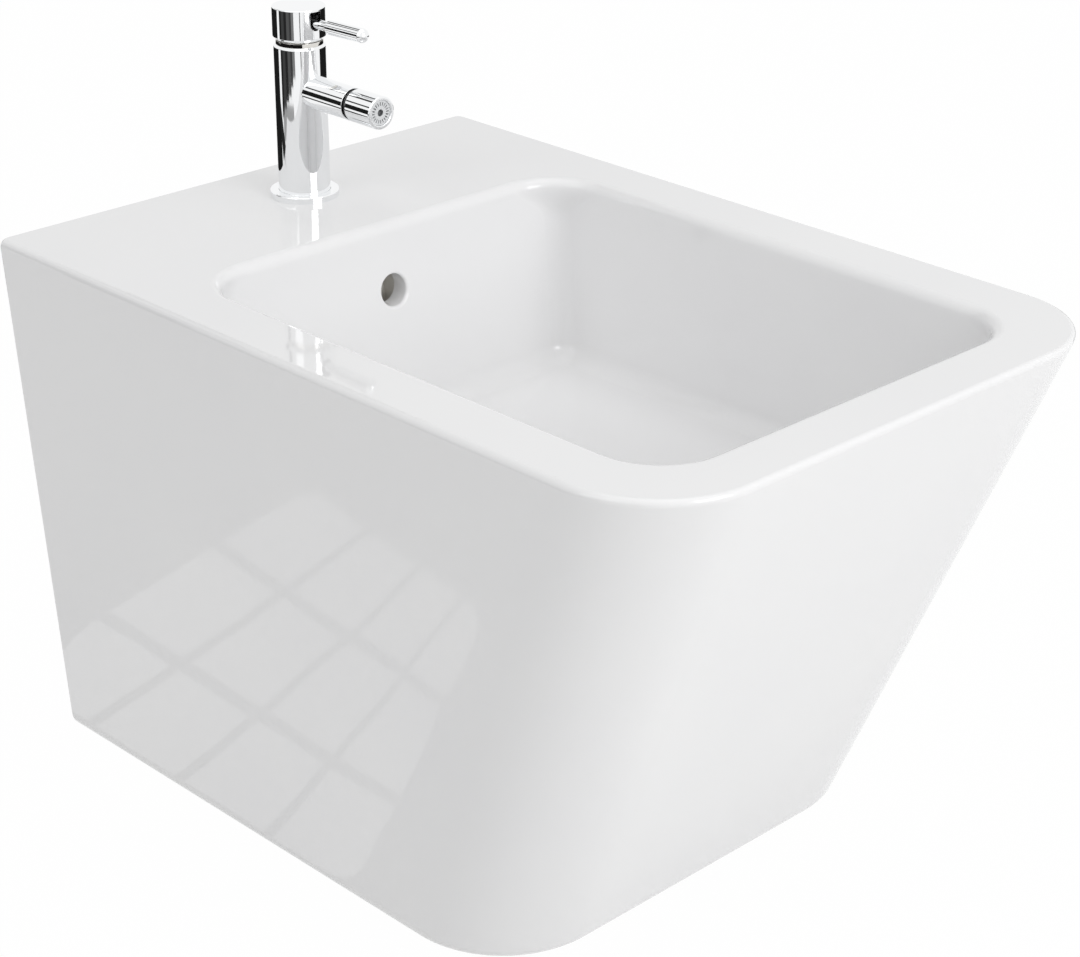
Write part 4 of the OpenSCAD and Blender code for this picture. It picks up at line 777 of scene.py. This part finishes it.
# The recess in the middle of the front face, out to 2.05 mm from the axis, gets the darker grey as painted shade.
middle = face_centres(jets) - SPOUT
coat_faces(jets, (np.hypot(middle[:, 0], middle[:, 2]) < 2.05) & (middle[:, 1] < -70.5), recess_painted_shade)

# Handle cap
# A chromed brass cap with a milled slot in front, closed at the top. It sits on the carrier's neck, and a grub screw
# in its back holds it.

# Inside the cap the chrome lies on unpolished brass: a bright, dull silver with a grain of 1.7 mm, which spreads the
# light from the slot.
dull_chrome = plated("chrome_on_unpolished_brass", 600.0, 2.0, "#E6E7E8", 0.5, 0.65)

cap_view = rounded([(0.0, 118.6, 0.0), (16.2, 118.6, 0.45), (16.2, 100.7, 0.3), (14.2, 98.5, 0.15), (9.05, 98.5, 0.15),
                    (9.05, 102.6, 0.15), (14.3, 102.6, 0.3), (14.3, 117.3, 0.6), (0.0, 117.3, 0.0)])
handle = turned("handle_cap_shell", [cap_view], TAP, columns=128, closed=False)
bow = np.linspace(math.pi, 2 * math.pi, 17)
slot_flat = np.concatenate([np.stack([4.0 * np.cos(bow), 109.8 + 4.0 * np.sin(bow)], -1),
                            [(4.0, 116.7), (3.4, 117.3), (-3.4, 117.3), (-4.0, 116.7)]])
slot_cut = ring_mesh("slot", upright_rings(slot_flat + (0.0, RIM), TAP_Y - np.array([10.0, 20.0])))
screw_hole = drill(1.5, 8.0, 18.0, (0.0, TAP_Y, RIM + 100.55), (0.0, 1.0, 0.0), 32)
boolean(handle, "DIFFERENCE", [slot_cut, screw_hole])
settle(bevelled(handle, 0.25, 2, 40.0), chrome, "chrome", "handle", "handle_cap")
# Inside the cap, its bore and its top are unpolished, but not the lip at its foot.
middle = face_centres(handle) - TAP
inner = (np.hypot(middle[:, 0], middle[:, 1]) < 14.45) & (middle[:, 2] > 98.8) & (middle[:, 2] < 118.0)
coat_faces(handle, inner, dull_chrome)
paint(zinc, "cap_screw", "lever_set_screw")

# Lever
# A drawn rod, chromed, that goes through the slot into the spindle's head, and a turned grip with a domed end.
rise = math.radians(1.5)
LEVER, OUTWARD = (0.0, TAP_Y, RIM + 109.8), (0.0, -math.cos(rise), math.sin(rise))
rod = turned("lever_pin", [rounded([(0.0, 1.0, 0.0), (3.0, 1.0, 0.3), (3.0, 44.0, 0.3), (0.0, 44.0, 0.0)])], LEVER,
             OUTWARD, 64, False)
settle(rod, chrome, "chrome", "lever", "lever_rod")
tip = quarter(12)
grip_view = rounded([(3.0, 29.0, 0.2), (4.4, 29.0, 0.4), (4.4, 57.0, 0.0)])[:2 * PER_CORNER]
grip_in = np.array([(0.0, 44.0), (3.0, 44.0), (3.0, 29.3)])
grip_tip = np.stack([4.4 * np.cos(tip), 58.0 + 4.0 * np.sin(tip)], -1)
grip = turned("lever_handle_grip", [grip_in, grip_view, grip_tip], LEVER, OUTWARD, 96, False)
settle(grip, chrome, "chrome", "lever", "lever_grip")

# Studio
# A plain white floor under the object, a white surround and three soft lamps, all sized in metres. The camera and the
# gloss see the floor and the surround as white, but they light the object less strongly than that.


def seen_directly(tree):
    """1 for rays from the camera and for those that gloss or a clear material sends on, and 0 for the rest."""
    path = add_node(tree, "ShaderNodeLightPath")
    seen = path.outputs["Is Camera Ray"]
    for ray in ("Is Glossy Ray", "Is Transmission Ray"):
        seen = add_node(tree, "ShaderNodeMath", {0: seen, 1: path.outputs[ray]}, operation="MAXIMUM").outputs[0]
    return seen


WHITE, FLOOR_Z = (1, 1, 1, 1), -0.315
floor_mesh = bpy.data.meshes.new("floor")
floor_mesh.from_pydata([(-6, -6, FLOOR_Z), (6, -6, FLOOR_Z), (6, 6, FLOOR_Z), (-6, 6, FLOOR_Z)], [], [(0, 1, 2, 3)])
in_scene("floor", floor_mesh)
paper, tree, output = new_material("white_paper_floor")
share = add_node(tree, "ShaderNodeMath", {0: seen_directly(tree), 1: 0.99}, operation="MULTIPLY")
matt = add_node(tree, "ShaderNodeBsdfDiffuse", {"Color": linear("#E2E2E2")})
white = add_node(tree, "ShaderNodeEmission", {"Color": WHITE, "Strength": 1.0})
mixed = add_node(tree, "ShaderNodeMixShader", {0: share.outputs[0], 1: matt.outputs[0], 2: white.outputs[0]})
tree.links.new(mixed.outputs[0], output.inputs["Surface"])
floor_mesh.materials.append(paper)

world = bpy.data.worlds.new("studio")
scene.world = world
world.use_nodes = True
tree = world.node_tree
tree.nodes.clear()
output = tree.nodes.new("ShaderNodeOutputWorld")
seen = seen_directly(tree)
fill = add_node(tree, "ShaderNodeBackground", {"Color": WHITE, "Strength": 0.58})
shown = add_node(tree, "ShaderNodeBackground", {"Color": WHITE, "Strength": 1.0})
mixed = add_node(tree, "ShaderNodeMixShader", {0: seen, 1: fill.outputs[0], 2: shown.outputs[0]})
tree.links.new(mixed.outputs[0], output.inputs["Surface"])

# Dark flats stand behind and beside the tap where the polished chrome shows dark bands, with light gaps between them.
# Each has its first and last turn and its inner and outer opening in degrees, and its brightness. Only gloss sees them,
# and they stay out of the directions that the deck and the side mirror to the camera: the last column flat, which the
# neck under the handle shows, lies higher for that, and the last spout flat is nearer, at the distance it names last.
DOWN, BACK = np.array([0.0, 0.0, -1.0]), np.array([0.0, 1.0, 0.0])
COLUMN_FLATS = ((62.0, 125.0, 66.0, 80.0, 0.012), (138.0, 149.0, 71.5, 80.0, 0.015), (149.0, 163.0, 72.0, 80.0, 0.05),
                (163.0, 175.0, 72.6, 80.0, 0.02), (175.0, 188.0, 73.0, 80.0, 0.09), (188.0, 197.0, 73.6, 80.0, 0.05),
                (197.0, 208.0, 74.2, 80.0, 0.2), (142.0, 196.0, 70.0, 72.4, 0.35), (232.5, 236.0, 68.0, 80.0, 0.1),
                (325.0, 385.0, 73.0, 80.0, 0.012), (125.0, 243.0, 79.2, 84.5, 0.01))
SPOUT_FLATS = ((166.0, 188.0, 32.0, 54.0, 0.012), (141.0, 150.0, 32.0, 54.0, 0.05), (96.0, 108.0, 32.0, 54.0, 0.05),
               (66.0, 84.0, 32.0, 54.0, 0.09), (207.0, 216.0, 30.0, 56.0, 0.02, 0.3))


def gloss_only(thing, name, strength):
    """Makes a stage piece glow evenly, and hides it from everything but reflections."""
    glow, tree, output = new_material(name)
    light = add_node(tree, "ShaderNodeEmission", {"Color": WHITE, "Strength": strength})
    tree.links.new(light.outputs[0], output.inputs["Surface"])
    thing.data.materials.append(glow)
    for ray in ("camera", "diffuse", "transmission", "volume_scatter", "shadow"):
        setattr(thing, "visible_" + ray, False)


def cone_flat(name, centre, axis, first, last, inner, outer, strength, distance=0.8):
    """A patch of a sphere round the centre, between two turns about the axis and two openings from it: the centre plus
    the distance times (cos(opening) axis + sin(opening) (cos(turn) side + sin(turn) across))."""
    side = np.array([1.0, 0.0, 0.0])
    across = np.cross(side, axis)
    steps = 24
    turn, opening = np.meshgrid(np.radians(np.linspace(first, last, steps + 1)), np.radians([inner, outer]))
    turn, opening = turn[..., None], opening[..., None]
    points = centre + distance * (np.cos(opening) * axis
                                  + np.sin(opening) * (np.cos(turn) * side + np.sin(turn) * across))
    row = np.arange(steps)
    cells = np.stack([row, row + 1, row + steps + 2, row + steps + 1], -1)
    mesh = bpy.data.meshes.new(name)
    mesh.from_pydata(points.reshape(-1, 3).tolist(), [], cells.tolist())
    gloss_only(in_scene(name, mesh), name, strength)


for index, flat in enumerate(COLUMN_FLATS):
    cone_flat("column_flat_%d" % index, (0.0, -0.0575, 0.165), DOWN, *flat)
for index, flat in enumerate(SPOUT_FLATS):
    cone_flat("spout_flat_%d" % index, (0.0, -0.1, 0.155), BACK, *flat)

# A window with four by three panes shows in the gloss of the left side. It lies just over the floor, between four
# corners given as (x, y). Towards the front its panes grow narrower, most of all in the row furthest from the object,
# and its own four corners are rounded.
corners = np.array([[(-0.518, 0.198), (-0.207, 0.172)], [(-0.478, -0.053), (-0.205, -0.218)]])
along = np.concatenate([[(i + 0.055) / 4, (i + 0.945) / 4] for i in range(4)])
over = np.array([0.02, 0.325, 0.365, 0.68, 0.72, 0.985])
along, over = np.meshgrid(along, over, indexing="ij")
along = along + (0.62 - 0.52 * over) * along * (1 - along)
weights = np.stack([(1 - along) * (1 - over), (1 - along) * over, along * (1 - over), along * over], -1)
panes = lifted(weights @ corners.reshape(4, 2), np.full(8, FLOOR_Z + 0.004))
index = np.arange(48).reshape(8, 6)
cells = np.stack([index[::2, ::2], index[1::2, ::2], index[1::2, 1::2], index[::2, 1::2]], -1).reshape(-1, 4)
mesh = bpy.data.meshes.new("window_panes")
mesh.from_pydata(panes.reshape(-1, 3).tolist(), [], cells.tolist())
sheet = bmesh.new()
sheet.from_mesh(mesh)
sheet.verts.ensure_lookup_table()
outer = [sheet.verts[i] for i in (0, 5, 42, 47)]
for corner, cut in zip(outer, (0.02, 0.08, 0.03, 0.025)):
    bmesh.ops.bevel(sheet, geom=[corner], offset=cut, segments=5, profile=0.5, affect="VERTICES")
sheet.to_mesh(mesh)
sheet.free()
gloss_only(in_scene("window_panes", mesh), "daylight_panes", 1.4)


def softbox(name, place, size, power):
    """A square area lamp at a place in metres, turned to the middle of the bowl."""
    lamp = bpy.data.lights.new(name, "AREA")
    lamp.shape, lamp.size, lamp.size_y, lamp.energy = "RECTANGLE", size, size, power
    made = in_scene(name, lamp)
    made.location = place
    made.rotation_mode = "QUATERNION"
    made.rotation_quaternion = Vector(np.array((0.0, -0.3, 0.0)) - place).to_track_quat("-Z", "Y")


softbox("front_softbox", (0.1, -2.4, 0.85), 1.2, 19.8)
softbox("top_softbox", (0.2, -0.3, 2.4), 2.0, 9.3)
softbox("left_softbox", (-2.2, -0.2, 1.7), 1.6, 9.0)
